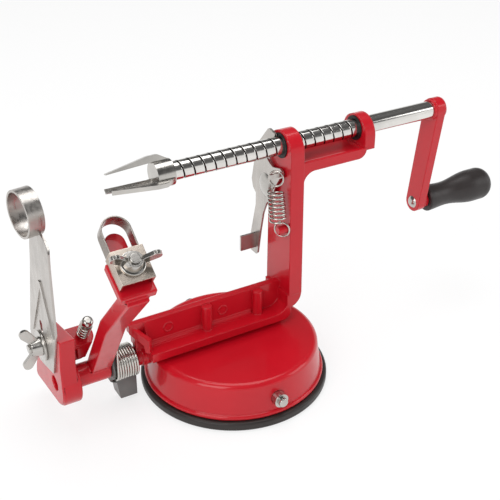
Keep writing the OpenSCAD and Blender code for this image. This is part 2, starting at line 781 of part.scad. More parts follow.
module pivot_rod() {
    color("#b01421") x_rod(end_x + 3, rod_end, rod_r, 0, pivot_z);
}

// Plastic block under the torsion spring, held on the rod by its collar.
module spring_block() {
    x1 = rail_x0 - 0.6;
    tail_top = pivot_z - aspring_od / 2 - 0.5;
    color("#4a4a4e") difference() {
        union() {
            x_rod(collar_x1 - 0.2, collar_x1 + collar_t - 0.2, 8, 0, pivot_z);
            xz_bar(9.6, 2.8) polygon([[collar_x1 - 0.2, pivot_z], [collar_x1 - 0.2, tail_top],
                [collar_x1 + 3.4, tail_top - 2], [collar_x1 + 5, 3.6], [x1, 3.6], [x1, tail_top],
                [collar_x1 + collar_t - 0.2, tail_top], [collar_x1 + collar_t - 0.2, pivot_z]]);
            x_rod(collar_x1, rail_x0 - 0.3, rod_r + 1.8, 0, pivot_z);
        }
        x_rod(collar_x1 - 1, rail_x0 + 1, rod_r + seat_gap, 0, pivot_z);
    }
}

// Torsion spring: one leg up into the arm, one down behind the block.
aspring_r = aspring_wire / 2;
aspring_c = aspring_od / 2 - aspring_r;
aspring_x0 = collar_x1 + collar_t + aspring_r + 0.15;
aspring_x1 = aspring_x0 + aspring_pitch * (aspring_turns + 0.25);
leg_z = pivot_z + 19.3;
aspring_path = concat(
    [[parm_x1 - 2.2, -aspring_c, leg_z], [parm_x1 - 0.4, -aspring_c, leg_z],
        [aspring_x0 - 1.4, -aspring_c, leg_z], [aspring_x0 - 0.4, -aspring_c, leg_z - 0.4],
        [aspring_x0, -aspring_c, leg_z - 1.4], [aspring_x0, -aspring_c, pivot_z + 8],
        [aspring_x0, -aspring_c, pivot_z + 3]],
    [for (i = [0:8 * aspring_turns + 2]) let (a = 180 + 45 * i)
        [aspring_x0 + aspring_pitch * i / 8, aspring_c * cos(a), pivot_z + aspring_c * sin(a)]],
    [[aspring_x1, 4, pivot_z - aspring_c], [aspring_x1, 7.2, pivot_z - aspring_c],
        [aspring_x1, 8.2, pivot_z - aspring_c - 0.4], [aspring_x1, 8.6, pivot_z - aspring_c - 1.4],
        [aspring_x1, 8.6, pivot_z - aspring_c - 6], [aspring_x1, 8.6, pivot_z - aspring_c - 8]]);
module arm_spring() {
    color("#b9b9b6") wire(aspring_path, aspring_r, [0, 0, 1]);
}

// Side view of the arm: two straight lengths with a bend, parm_t thick.
parm_foot = [-4.5, pivot_z + 0.3];
parm_bend = [-31, pivot_z + 42.9];
parm_head = [-62.6, axis_z - 28.1];
function off_line(p, q, t) = let (u = unit(q - p)) t * [u.y, -u.x];
module parm_outline() {
    a = off_line(parm_foot, parm_bend, parm_t);
    b = off_line(parm_bend, parm_head, parm_t);
    polygon([parm_foot, parm_bend, parm_head, parm_head + b, parm_bend + (a + b) / 2, parm_foot + a]);
    translate([0, pivot_z]) circle(sleeve_r);
}

// Moves to the arm's seat: Y runs up its slope and Z stands on it.
module on_seat() {
    translate([head_x, seat_at.x, seat_at.y]) rotate([seat_slope, 0, 0]) children();
}

// Moves to the clamp plate: Y runs up the plate from its lower edge.
module on_head() {
    translate([head_x, head_at.x, head_at.y]) rotate([head_slope, 0, 0]) children();
}

module peel_arm() {
    tongue = loop_w / 2 - strip_t - 0.9;
    color("#c01525") difference() {
        union() {
            yz_plate(parm_x, parm_w) parm_outline();
            x_rod(sleeve_x0, parm_x1, sleeve_r, 0, pivot_z);
            on_seat() {
                translate([-seat_w / 2, 0, -seat_t]) cube([seat_w, 19.6, seat_t]);
                translate([-tongue, 10, -seat_t]) cube([2 * tongue, 19.2, seat_t]);
                translate([0, 29.2, -seat_t]) cylinder(h = seat_t, r = tongue);
                // flanks that carry the seat's overhang down to the arm
                translate([0, 0, -seat_t - 3.2]) linear_extrude(3.4)
                    polygon([[-seat_w / 2 + 2, 1.4], [seat_w / 2 - 2, 1.4], [parm_w / 2, 12],
                        [-parm_w / 2, 12]]);
            }
        }
        x_rod(sleeve_x0 - 1, parm_x1 + 1, rod_r + run_gap, 0, pivot_z);
        x_rod(parm_x1 - 2.5, parm_x1 + 1, aspring_r + 0.3, -aspring_c, leg_z);
        on_head() translate([0, stud_s, -13.2]) cylinder(h = 14, r = stud_r + seat_gap);
    }
}

// Channel that clamps the peel blade on the seat.
module clamp_plate() {
    lean = head_slope - seat_slope;
    // depth of the seat below the plate at its lower edge
    drop = (head_at.y - seat_at.y) * cos(seat_slope) / cos(lean);
    color("#c4c3bf") on_head() difference() {
        union() {
            translate([-clamp_w / 2, 0, -clamp_t]) cube([clamp_w, clamp_len, clamp_t]);
            for (x = [-clamp_w / 2, clamp_in])
                translate([x, 0, 0]) rotate([90, 0, 90]) linear_extrude(clamp_t)
                    polygon([[0, -0.6], [clamp_len, -0.6], [clamp_len, 0.1 - drop - clamp_len * tan(lean)],
                        [0, 0.1 - drop]]);
        }
        translate([0, stud_s, -9]) cylinder(h = 12, r = stud_r + seat_gap);
    }
}

// Strip bent to a loop: the peeling edge is its far bend.
module peel_blade() {
    r = loop_w / 2;
    far = loop_reach - r;
    near = 2.5;
    color("#a9aaa8") on_head() translate([0, 0, -clamp_t - seat_gap - strip_h]) difference() {
        linear_extrude(strip_h) {
            difference() {
                union() {
                    translate([0, far]) circle(r);
                    translate([-r, near]) square([loop_w, far - near]);
                }
                translate([0, far]) circle(r - strip_t);
                translate([-r + strip_t, near - 1]) square([loop_w - 2 * strip_t, far - near + 1]);
            }
        }
        // the far bend is ground to an edge below
        translate([0, far, 0]) rotate_extrude()
            polygon([[r - strip_t * 0.2, -1], [r + 1, -1], [r + 1, 1.4], [r, 1.4],
                [r - strip_t * 0.75, -0.01]]);
    }
}

module peel_stud() {
    color("#c4c3bf") on_head() translate([0, stud_s, -13]) cylinder(h = 19.6, r = stud_r);
}

// Wing nut standing on Z = 0, with its wings along X.
module wing_nut() {
    difference() {
        union() {
            cylinder(h = 5.2, r1 = 5.2, r2 = 4);
            for (s = [0, 180]) rotate([0, 0, s]) xz_bar(2)
                link([3.4, 2.6], 2.2, [wing_span / 2 - 2.7, 7.4], 2.7);
        }
        translate([0, 0, -1]) cylinder(h = 20, r = stud_r + run_gap);
    }
}

module peel_wing_nut() {
    color("#c4c3bf") on_head() translate([0, stud_s, run_gap]) rotate([0, 0, -8]) wing_nut();
}

// End bracket, stop screw and core blade

// Moves to the ear: Z runs along the stop screw, up from the ear's face.
module on_ear() {
    translate([stop_x, stop_at.x, stop_at.y]) rotate([stop_lean, 0, 0]) children();
}

module end_bracket() {
    z = pivot_z;
    color("#c01525") difference() {
        union() {
            yz_plate(end_x, end_t) {
                polygon([[-end_boss_r, z], [-end_boss_r, z + 16], [-15, z + 34.2], [13.5, z + 28.2],
                    [31, z - 7.5], [32.4, z - 13], [31, z - 15], [0, z - end_boss_r]]);
                translate([0, z]) circle(end_boss_r);
            }
            x_rod(end_x + 1, end_x + end_t + 2, end_boss_r + 1, 0, z);
            on_ear() translate([0, 0, -ear_t]) linear_extrude(ear_t) {
                circle(6);
                translate([end_x + end_t - stop_x - 1, -6]) square([stop_x - end_x - end_t + 1, 12]);
            }
            // web under the ear, behind the arm's sleeve
            yz_plate(end_x + end_t - 1, parm_x - end_x - end_t)
                polygon([[stop_at.x - 1.6, stop_at.y - 6.6], [stop_at.x + 6.6, stop_at.y - 0.8],
                    [stop_at.x + 6.6, z + sleeve_r + 1.2], [stop_at.x - 3, z + sleeve_r + 1.2]]);
        }
        x_rod(end_x - 1, end_x + end_t + 3, rod_r + seat_gap, 0, z);
        x_rod(end_x - 1, bolt_end + 0.05, stud_r + seat_gap, bolt_y, bolt_z);
        on_ear() translate([0, 0, -20]) cylinder(h = 40, r = stop_shank_r + run_gap);
    }
}

module stop_screw() {
    color("#c4c3bf") on_ear() {
        translate([0, 0, -ear_t - 6]) cylinder(h = stop_gap + ear_t + 7, r = stop_shank_r);
        translate([0, 0, stop_gap]) difference() {
            union() {
                cylinder(h = 4, r = stop_head_r);
                intersection() {
                    translate([0, 0, 4]) sphere(stop_head_r);
                    cylinder(h = 12, r = stop_head_r + 1);
                }
            }
            translate([0, 0, 4 + stop_head_r]) cube([10, 0.9, 2], center = true);
        }
    }
}

// Small spring under the screw's head that keeps the screw from turning.
sspring_r = 0.6;
sspring_c = 2.85;
sspring_turns = 4;
sspring_rise = stop_gap - 2 * sspring_r - 0.6;
sspring_path = [for (i = [0:8 * sspring_turns]) let (a = 45 * i)
    [sspring_c * cos(a), sspring_c * sin(a), sspring_r + 0.3 + sspring_rise * i / (8 * sspring_turns)]];
module stop_spring() {
    color("#9c9c98") on_ear() wire(sspring_path, sspring_r, [1, 0, 0]);
}

// Flat blade below the coring ring, seen along X.
module blade_outline() {
    z = axis_z;
    polygon([[-5.4, z - 13], [-10.6, z - 14.8], [-15.2, z - 17], [-16.4, z - 19], [-16, z - 27],
        [-14.6, z - 57], [-14.2, z - 66], [-3.6, z - 96], [17, z - 100.4], [25, z - 98],
        [29, z - 91], [29.2, z - 87.6], [13.8, z - 38], [10.8, z - 25.6], [8.8, z - 20], [5.4, z - 13]]);
}

module core_blade() {
    z = axis_z;
    x0 = end_x - run_gap - blade_t;
    color("#a9aaa8") difference() {
        union() {
            yz_plate(x0, blade_t) blade_outline();
            x_rod(end_x - ring_len, end_x - run_gap, ring_r, 0, z - ring_drop);
            // two pressed ribs that meet below the ring
            yz_plate(x0 - 0.7, 0.9)
                polygon([[-0.7, z - 42], [1.6, z - 42], [22.6, z - 82], [21, z - 82.8], [0.5, z - 46],
                    [-11, z - 70], [-12.4, z - 69.4]]);
        }
        x_rod(end_x - ring_len - 1, end_x + 1, ring_r - blade_t, 0, z - ring_drop);
        x_rod(end_x - 5, end_x + 1, stud_r + run_gap, bolt_y, bolt_z);
        yz_plate(x0 - 3, 6) translate([8, bolt_z + 12.5]) {
            square([4, 3.8], center = true);
            for (s = [-1, 1]) translate([0, 1.9 * s]) circle(2);
        }
    }
}

module blade_bolt() {
    color("#c4c3bf") x_rod(end_x - 9.2, bolt_end, stud_r, bolt_y, bolt_z);
}

module blade_washer() {
    x = end_x - blade_t - 2 * run_gap;
    color("#c4c3bf") difference() {
        x_rod(x - 1.3, x, washer_r, bolt_y, bolt_z);
        x_rod(x - 3, x + 1, stud_r + seat_gap, bolt_y, bolt_z);
    }
}

module blade_wing_nut() {
    x = end_x - blade_t - 3 * run_gap - 1.3;
    color("#c4c3bf") translate([x, bolt_y, bolt_z]) rotate([0, -90, 0]) wing_nut();
}

echo("least gap of each spring to itself", lever = least_gap(lspring_path, lspring_r, 4),
    arm = least_gap(aspring_path, aspring_r, 6), stop = least_gap(sspring_path, sspring_r, 4));

base_pad();
base_shell();
frame();
frame_screws();
front_bush();
rear_bush();
feed_screw();
fork();
crank_arm();
crank_screw();
grip_pin();
handle_grip();
release_lever();
lever_screw();
lever_spring();
pivot_rod();
spring_block();
arm_spring();
peel_arm();
clamp_plate();
peel_blade();
peel_stud();
peel_wing_nut();
end_bracket();
stop_screw();
stop_spring();
core_blade();
blade_bolt();
blade_washer();
blade_wing_nut();
cam_axle();
suction_cam();
suction_lever();
lever_pin();
suction_stem();
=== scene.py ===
"""Looks of a hand cranked apple peeler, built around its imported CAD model."""

import json
import logging
import math
from collections.abc import Sequence
from dataclasses import dataclass, field
from enum import Enum

import bmesh
import bpy
from bpy.types import Material, Node, NodeSocket, NodeTree, Object
from mathutils import Matrix, Vector

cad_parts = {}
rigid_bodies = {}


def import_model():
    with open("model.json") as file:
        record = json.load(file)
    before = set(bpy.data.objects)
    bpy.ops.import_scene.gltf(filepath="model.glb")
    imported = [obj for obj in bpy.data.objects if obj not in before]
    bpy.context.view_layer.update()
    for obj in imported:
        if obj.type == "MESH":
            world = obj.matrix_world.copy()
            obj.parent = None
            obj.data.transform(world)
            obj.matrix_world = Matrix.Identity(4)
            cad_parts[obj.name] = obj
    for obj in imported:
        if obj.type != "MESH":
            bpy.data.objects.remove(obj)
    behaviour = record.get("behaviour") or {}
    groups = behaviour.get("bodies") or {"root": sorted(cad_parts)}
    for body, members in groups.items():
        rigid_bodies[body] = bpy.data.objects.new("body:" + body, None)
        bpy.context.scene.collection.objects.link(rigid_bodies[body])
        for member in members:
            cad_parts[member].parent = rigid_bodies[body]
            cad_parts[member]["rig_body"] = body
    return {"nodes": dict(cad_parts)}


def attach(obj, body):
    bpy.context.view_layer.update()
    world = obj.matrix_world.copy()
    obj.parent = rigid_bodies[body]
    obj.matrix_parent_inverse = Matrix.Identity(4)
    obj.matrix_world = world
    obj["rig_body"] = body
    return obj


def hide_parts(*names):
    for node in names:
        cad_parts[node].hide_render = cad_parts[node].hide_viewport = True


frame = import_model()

log = logging.getLogger("apple_peeler")

MM = 0.001
MERGE = 1e-6
ROUND = 64
EDGE_ANGLE = 32.0
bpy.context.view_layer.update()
SHAFT_Z = 131.6
SHAFT_R = 5.0
PIVOT_Z = 26.7
STOP_PLACE = (-86.2, 6.0, 46.8)
STOP_LEAN = 35.2

Point = tuple[float, float, float]
Box = tuple[Point, Point]


class Grain(Enum):
    """Direction in which a metal was drawn, rolled or brushed."""

    NONE = (260.0, 260.0, 260.0)
    ALONG_X = (18.0, 620.0, 620.0)
    ALONG_Y = (620.0, 18.0, 620.0)
    ALONG_Z = (620.0, 620.0, 18.0)


class Melt(Enum):
    """Ways to combine a solid with a piece."""

    CUT = "DIFFERENCE"
    ADD = "UNION"


class Bench:
    """Modelling operations on one object at a time, as done by hand."""

    @staticmethod
    def only(obj: Object) -> None:
        """Makes obj the only selected and active object.

        Args:
            obj: The object to work on.
        """
        active = bpy.context.view_layer.objects.active
        if active is not None and active.mode != "OBJECT":
            bpy.ops.object.mode_set(mode="OBJECT")
        bpy.ops.object.select_all(action="DESELECT")
        bpy.context.view_layer.objects.active = obj
        obj.select_set(True)

    @staticmethod
    def clear() -> None:
        """Deselects every object."""
        bpy.ops.object.select_all(action="DESELECT")

    @staticmethod
    def edit(obj: Object) -> None:
        """Opens obj in edit mode with all of it selected."""
        Bench.only(obj)
        bpy.ops.object.mode_set(mode="EDIT")
        bpy.ops.mesh.select_all(action="SELECT")

    @staticmethod
    def face_out(obj: Object) -> None:
        """Turns the faces of obj outwards and leaves edit mode."""
        Bench.edit(obj)
        bpy.ops.mesh.normals_make_consistent(inside=False)
        bpy.ops.object.mode_set(mode="OBJECT")

    @staticmethod
    def copy_of(node: str, name: str, flat: bool = True) -> Object:
        """Copies a CAD node's mesh into a new object with its triangles merged.

        Args:
            node: Name of the CAD node.
            name: Name of the new object.
            flat: Whether triangles in one plane become one face.

        Returns:
            The new object, in the node's place.
        """
        obj = bpy.data.objects.new(name, frame["nodes"][node].data.copy())
        bpy.context.scene.collection.objects.link(obj)
        Bench.only(obj)
        if obj.data.has_custom_normals:
            bpy.ops.mesh.customdata_custom_splitnormals_clear()
        Bench.edit(obj)
        bpy.ops.mesh.remove_doubles(threshold=2 * MERGE)
        if flat:
            bpy.ops.mesh.dissolve_limited(angle_limit=math.radians(0.4))
        bpy.ops.object.mode_set(mode="OBJECT")
        return obj

    @staticmethod
    def choose_edges(obj: Object, angle: float, sharp: tuple[Box, ...]) -> None:
        """Marks the edges to round, apart from those in places that stay sharp.

        Args:
            obj: The mesh object.
            angle: Edges sharper than this many degrees are rounded.
            sharp: Boxes, in millimetres, whose edges stay as they are.
        """
        shape = bmesh.new()
        shape.from_mesh(obj.data)
        weight = shape.edges.layers.float.new("bevel_weight_edge")
        for edge in shape.edges:
            middle = (edge.verts[0].co + edge.verts[1].co) / 2 / MM
            kept = any(all(a <= v <= b for a, v, b in zip(low, middle, high)) for low, high in sharp)
            turned = len(edge.link_faces) == 2 and edge.calc_face_angle() > math.radians(angle)
            edge[weight] = 1.0 if turned and not kept else 0.0
        shape.to_mesh(obj.data)
        shape.free()

    @staticmethod
    def round_edges(obj: Object, width: float, segments: int = 3, angle: float = EDGE_ANGLE,
                    clamp: bool = True, sharp: tuple[Box, ...] = ()) -> None:
        """Rounds the sharp edges of obj and smooths what is left.

        Args:
            obj: The mesh object.
            width: Width of the rounding in millimetres.
            segments: Faces across the rounding.
            angle: Edges sharper than this many degrees are rounded.
            clamp: Whether the narrowest place limits the rounding everywhere.
            sharp: Boxes, in millimetres, whose edges stay sharp.
        """
        Bench.only(obj)
        if sharp:
            Bench.choose_edges(obj, angle, sharp)
        bevel = obj.modifiers.new("rounding", "BEVEL")
        bevel.width = width * MM
        bevel.segments = segments
        bevel.limit_method = "WEIGHT" if sharp else "ANGLE"
        bevel.angle_limit = math.radians(angle)
        bevel.use_clamp_overlap = clamp
        bevel.miter_outer = "MITER_ARC"
        bpy.ops.object.modifier_apply(modifier=bevel.name)
        Bench.smooth(obj, angle)
        even = obj.modifiers.new("even", "WEIGHTED_NORMAL")
        even.keep_sharp = True
        bpy.ops.object.modifier_apply(modifier=even.name)

    @staticmethod
    def smooth(obj: Object, angle: float = EDGE_ANGLE) -> None:
        """Shades obj smooth, apart from edges sharper than angle degrees."""
        Bench.only(obj)
        bpy.ops.object.shade_smooth_by_angle(angle=math.radians(angle))

    @staticmethod
    def settle(obj: Object) -> None:
        """Puts the object's place into its mesh."""
        Bench.only(obj)
        bpy.ops.object.transform_apply(location=True, rotation=True, scale=True)

    @staticmethod
    def path(name: str, points: list[Vector]) -> Object:
        """Draws a chain of edges and leaves it selected in edit mode.

        Args:
            name: Name of the new object.
            points: The corners of the chain, in millimetres.

        Returns:
            The new object.
        """
        Bench.clear()
        bpy.ops.mesh.primitive_plane_add(size=MM, location=(0.0, 0.0, 0.0))
        obj = bpy.context.object
        obj.name = name
        Bench.edit(obj)
        bpy.ops.mesh.merge(type="CENTER")
        bpy.ops.transform.translate(value=points[0] * MM)
        for near, far in zip(points, points[1:]):
            bpy.ops.mesh.extrude_vertices_move(TRANSFORM_OT_translate={"value": (far - near) * MM})
        bpy.ops.mesh.select_all(action="SELECT")
        return obj

    @staticmethod
    def prism(name: str, outline: Sequence[Point], along: Point) -> Object:
        """Makes a closed solid from a flat outline.

        Args:
            name: Name of the new object.
            outline: The corners of the flat outline, in millimetres.
            along: How far and which way the outline is pushed, in millimetres.

        Returns:
            The solid.
        """
        obj = Bench.path(name, [Vector(corner) for corner in outline])
        bpy.ops.mesh.edge_face_add()
        bpy.ops.mesh.extrude_region_move(TRANSFORM_OT_translate={"value": Vector(along) * MM})
        Bench.face_out(obj)
        return obj

    @staticmethod
    def rod(name: str, start: Vector, end: Vector, radius: float, edge: float, segments: int = 3,
            tip: float | None = None) -> Object:
        """Makes a round rod or cone between two points, with rounded edges.

        Args:
            name: Name of the new object.
            start: Middle of the first end, in millimetres.
            end: Middle of the second end, in millimetres.
            radius: Radius at the first end in millimetres.
            edge: Width of the rounding in millimetres.
            segments: Faces across the rounding.
            tip: Radius at the second end, if it differs.

        Returns:
            The rod.
        """
        Bench.clear()
        turn = (end - start).to_track_quat("Z", "Y").to_euler()
        bpy.ops.mesh.primitive_cone_add(
            vertices=ROUND, radius1=radius * MM, radius2=(radius if tip is None else tip) * MM,
            depth=(end - start).length * MM, location=(start + end) / 2 * MM, rotation=turn)
        obj = bpy.context.object
        obj.name = name
        Bench.settle(obj)
        Bench.round_edges(obj, edge, segments)
        return obj

    @staticmethod
    def join(obj: Object, others: list[Object]) -> None:
        """Joins other objects to obj.

        Args:
            obj: The object that stays.
            others: The objects that become part of it.
        """
        Bench.only(obj)
        for other in others:
            other.select_set(True)
        bpy.ops.object.join()

    @staticmethod
    def combine(obj: Object, tool: Object, way: Melt) -> None:
        """Cuts a solid out of obj, or melts it to obj, and removes the solid.

        Args:
            obj: The piece to change.
            tool: The solid.
            way: Whether the solid is cut out or melted on.
        """
        Bench.only(obj)
        step = obj.modifiers.new("combine", "BOOLEAN")
        step.operation = way.value
        step.solver = "EXACT"
        step.object = tool
        bpy.ops.object.modifier_apply(modifier=step.name)
        bpy.data.objects.remove(tool)

    @staticmethod
    def wire(name: str, points: list[Vector], radius: float) -> Object:
        """Makes a round wire along points.

        Args:
            name: Name of the new object.
            points: The wire's middle line, in millimetres.
            radius: Radius of the wire in millimetres.

        Returns:
            The wire as a closed mesh.
        """
        Bench.clear()
        curve = bpy.data.curves.new(name, "CURVE")
        curve.dimensions = "3D"
        curve.twist_mode = "MINIMUM"
        curve.bevel_depth = radius * MM
        curve.bevel_resolution = 3
        curve.use_fill_caps = True
        spline = curve.splines.new("POLY")
        spline.points.add(len(points) - 1)
        for spot, point in zip(spline.points, points):
            spot.co = (*(point * MM), 1.0)
        obj = bpy.data.objects.new(name, curve)
        bpy.context.scene.collection.objects.link(obj)
        Bench.only(obj)
        bpy.ops.object.convert(target="MESH")
        obj = bpy.context.view_layer.objects.active
        Bench.edit(obj)
        bpy.ops.mesh.remove_doubles(threshold=MERGE)
        Bench.face_out(obj)
        Bench.smooth(obj, angle=50.0)
        return obj


class Shop:
    """Places finished pieces on their bodies and dresses them."""

    @staticmethod
    def dress(obj: Object, material: Material) -> None:
        """Gives the whole of obj one material.

        Args:
            obj: The object to dress.
            material: Its finish.
        """
        if not obj.material_slots:
            obj.data.materials.append(material)
        for slot in obj.material_slots:
            slot.material = material

    @staticmethod
    def stand_for(obj: Object, node: str, slot: str, material: Material) -> None:
        """Puts a finished piece in the place of a CAD node.

        Args:
            obj: The finished piece.
            node: The CAD node that it stands for.
            slot: The record's material slot; not used.
            material: The finish of the piece.
        """
        Shop.dress(obj, material)
        body = frame["nodes"][node]["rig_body"]
        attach(obj, body)
        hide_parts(node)
        log.info("piece %s stands for %s on %s", obj.name, node, body)

    @staticmethod
    def keep(node: str, material: Material) -> None:
        """Keeps a CAD node as it is and gives it a better material."""
        Shop.dress(frame["nodes"][node], material)
        log.info("node %s kept", node)


class Nodes:
    """Short cuts for the nodes of one tree."""

    def __init__(self, tree: NodeTree) -> None:
        """Takes the tree to work in."""
        self.tree = tree

    def feed(self, node: Node, inputs: dict[str | int, object]) -> None:
        """Sets the inputs of a node, or links them where a socket is given.

        Args:
            node: The node.
            inputs: Numbers, colours or sockets, by the input's name or place.
        """
        for key, value in inputs.items():
            if isinstance(value, NodeSocket):
                self.tree.links.new(value, node.inputs[key])
            else:
                node.inputs[key].default_value = value

    def add(self, kind: str, inputs: dict[str | int, object] | None = None, **values: object) -> Node:
        """Adds a node, sets its properties and feeds its inputs.

        Args:
            kind: Blender's name of the shader node.
            inputs: Numbers, colours or sockets, by the input's name or place.
            **values: Properties to set on the node.

        Returns:
            The new node.
        """
        node = self.tree.nodes.new("ShaderNode" + kind)
        for key, value in values.items():
            setattr(node, key, value)
        self.feed(node, inputs or {})
        return node


class Graph(Nodes):
    """The nodes of one material, with noises on its object's coordinates."""

    low = 0.3
    high = 0.7

    def __init__(self, name: str) -> None:
        """Starts an empty material with one main shader.

        Args:
            name: Name of the material.
        """
        self.material: Material = bpy.data.materials.new(name)
        self.material.use_nodes = True
        super().__init__(self.material.node_tree)
        self.shader: Node = self.tree.nodes["Principled BSDF"]
        self.coords: NodeSocket = self.add("TexCoord").outputs["Object"]

    def noise(self, scale: float, detail: float = 3.0, stretch: Point = (1.0, 1.0, 1.0)) -> NodeSocket:
        """Adds a noise in object space.

        Args:
            scale: Cells per metre.
            detail: Octaves of finer noise.
            stretch: Scale along each axis, on top of scale.

        Returns:
            The noise's value, around 0.5.
        """
        place = self.add("Mapping", {"Scale": stretch, "Vector": self.coords}).outputs["Vector"]
        return self.add("TexNoise", {"Scale": scale, "Detail": detail, "Vector": place}).outputs["Fac"]

    def range(self, value: NodeSocket, first: float, second: float) -> NodeSocket:
        """Spreads a noise value between two numbers.

        Args:
            value: A value around 0.5.
            first: Result where the value is low.
            second: Result where the value is high.

        Returns:
            The spread value.
        """
        node = self.add("MapRange", {
            "From Min": self.low, "From Max": self.high, "To Min": first, "To Max": second, "Value": value})
        return node.outputs["Result"]

    def tint(self, value: NodeSocket, colour: Point, dark: float, light: float) -> NodeSocket:
        """Varies a colour by a noise value.

        Args:
            value: A value around 0.5.
            colour: The colour.
            dark: Factor of the colour where the value is low.
            light: Factor of the colour where the value is high.

        Returns:
            The varied colour.
        """
        node = self.add("ValToRGB", {"Fac": value})
        for step, place, factor in zip(node.color_ramp.elements, (self.low, self.high), (dark, light)):
            step.position = place
            step.color = (*(channel * factor for channel in colour), 1.0)
        return node.outputs["Color"]

    def bump(self, height: NodeSocket, depth: float, strength: float) -> Node:
        """Raises the surface by a noise.

        Args:
            height: The noise.
            depth: Height in millimetres.
            strength: How much of it shows.

        Returns:
            The node that raises it.
        """
        node = self.add("Bump", {"Strength": strength, "Distance": depth * MM, "Height": height})
        self.feed(self.shader, {"Normal": node.outputs["Normal"]})
        return node


@dataclass(frozen=True)
class Enamel:
    """Glossy enamel sprayed on a casting, with a fine ripple and soft edges."""

    name: str
    colour: Point
    dark: float = 0.95
    light: float = 1.05
    roughness: float = 0.34
    spread: float = 0.03
    level: float = 0.2
    coat: float = 0.5
    coat_roughness: float = 0.025
    cloud_scale: float = 34.0
    film_scale: float = 190.0
    ripple_scale: float = 420.0
    ripple_depth: float = 0.2
    ripple: float = 0.012
    edge: float = 0.8
    edge_samples: int = 8

    def make(self) -> Material:
        """Builds the finish.

        Returns:
            The new material.
        """
        graph = Graph(self.name)
        cloud = graph.noise(self.cloud_scale, detail=4.0)
        film = graph.noise(self.film_scale)
        edge = graph.add("Bevel", {"Radius": self.edge * MM}, samples=self.edge_samples).outputs["Normal"]
        graph.feed(graph.shader, {
            "Base Color": graph.tint(cloud, self.colour, self.dark, self.light),
            "Roughness": graph.range(film, self.roughness - self.spread, self.roughness + self.spread),
            "Coat Weight": self.coat,
            "Coat Roughness": self.coat_roughness,
            "Coat Normal": edge,
            "Specular IOR Level": self.level,
        })
        ripple = graph.bump(graph.noise(self.ripple_scale, detail=2.0), self.ripple_depth, self.ripple)
        graph.feed(ripple, {"Normal": edge})
        return graph.material


@dataclass(frozen=True)
class Metal:
    """Bare or plated steel with the marks of its making."""

    name: str
    colour: Point
    roughness: float
    grain: Grain = Grain.NONE
    marks: float = 0.05
    marks_depth: float = 0.1
    spread: float = 0.3
    stain_scale: float = 70.0
    dark: float = 0.86
    light: float = 1.04
    groove: tuple[float, float] | None = None
    # Painted shade in the shaft's grooves: its colour, and the depths below the surface where it starts and
    # where it is full.
    groove_shade: Point = (0.02, 0.018, 0.016)
    shade_from: float = 0.03
    shade_full: float = 0.16

    def paint_groove_shade(self, graph: Graph, unshaded: NodeSocket) -> NodeSocket:
        """Paints shade into what lies below the surface of the shaft, darkening its grooves.

        Args:
            graph: The material's nodes.
            unshaded: The colour before the painted shade is added.

        Returns:
            The colour with painted shade in the grooves.
        """
        axis, radius = self.groove
        place = graph.add("Mapping", {
            "Scale": (0.0, 1.0, 1.0), "Location": (0.0, 0.0, -axis * MM), "Vector": graph.coords})
        length = graph.add("VectorMath", {0: place.outputs["Vector"]}, operation="LENGTH")
        depth = graph.add("MapRange", {
            "From Min": (radius - self.shade_full) * MM, "From Max": (radius - self.shade_from) * MM,
            "Value": length.outputs["Value"]})
        mix = graph.add("Mix", {
            "A": (*self.groove_shade, 1.0), "B": unshaded, "Factor": depth.outputs["Result"]}, data_type="RGBA")
        return mix.outputs["Result"]

    def make(self) -> Material:
        """Builds the finish.

        Returns:
            The new material.
        """
        graph = Graph(self.name)
        colour = graph.tint(graph.noise(self.stain_scale, detail=4.0), self.colour, self.dark, self.light)
        # Painted shade darkens the shaft's grooves, below its surface.
        if self.groove is not None:
            colour = self.paint_groove_shade(graph, colour)
        lines = graph.noise(1.0, detail=4.0, stretch=self.grain.value)
        low, high = self.roughness * (1 - self.spread), self.roughness * (1 + self.spread)
        graph.feed(graph.shader, {
            "Metallic": 1.0, "Base Color": colour, "Roughness": graph.range(lines, low, high)})
        graph.bump(lines, self.marks_depth, self.marks)
        return graph.material


@dataclass(frozen=True)
class Moulded:
    """Moulded plastic or rubber with a fine grain."""

    name: str
    colour: Point
    roughness: float
    grain_scale: float = 900.0
    grain: float = 0.1
    level: float = 0.5
    grain_depth: float = 0.2
    spread: float = 0.07
    bloom_scale: float = 55.0
    film_scale: float = 160.0
    dark: float = 0.82
    light: float = 1.18

    def make(self) -> Material:
        """Builds the finish.

        Returns:
            The new material.
        """
        graph = Graph(self.name)
        bloom = graph.noise(self.bloom_scale, detail=4.0)
        film = graph.noise(self.film_scale)
        graph.feed(graph.shader, {
            "Base Color": graph.tint(bloom, self.colour, self.dark, self.light),
            "Roughness": graph.range(film, self.roughness - self.spread, self.roughness + self.spread),
            "Specular IOR Level": self.level,
        })
        graph.bump(graph.noise(self.grain_scale, detail=2.0), self.grain_depth, self.grain)
        return graph.material


def made(finish: Enamel | Metal | Moulded) -> Material:
    """Returns a dataclass field that makes the finish once."""
    return field(default_factory=finish.make)


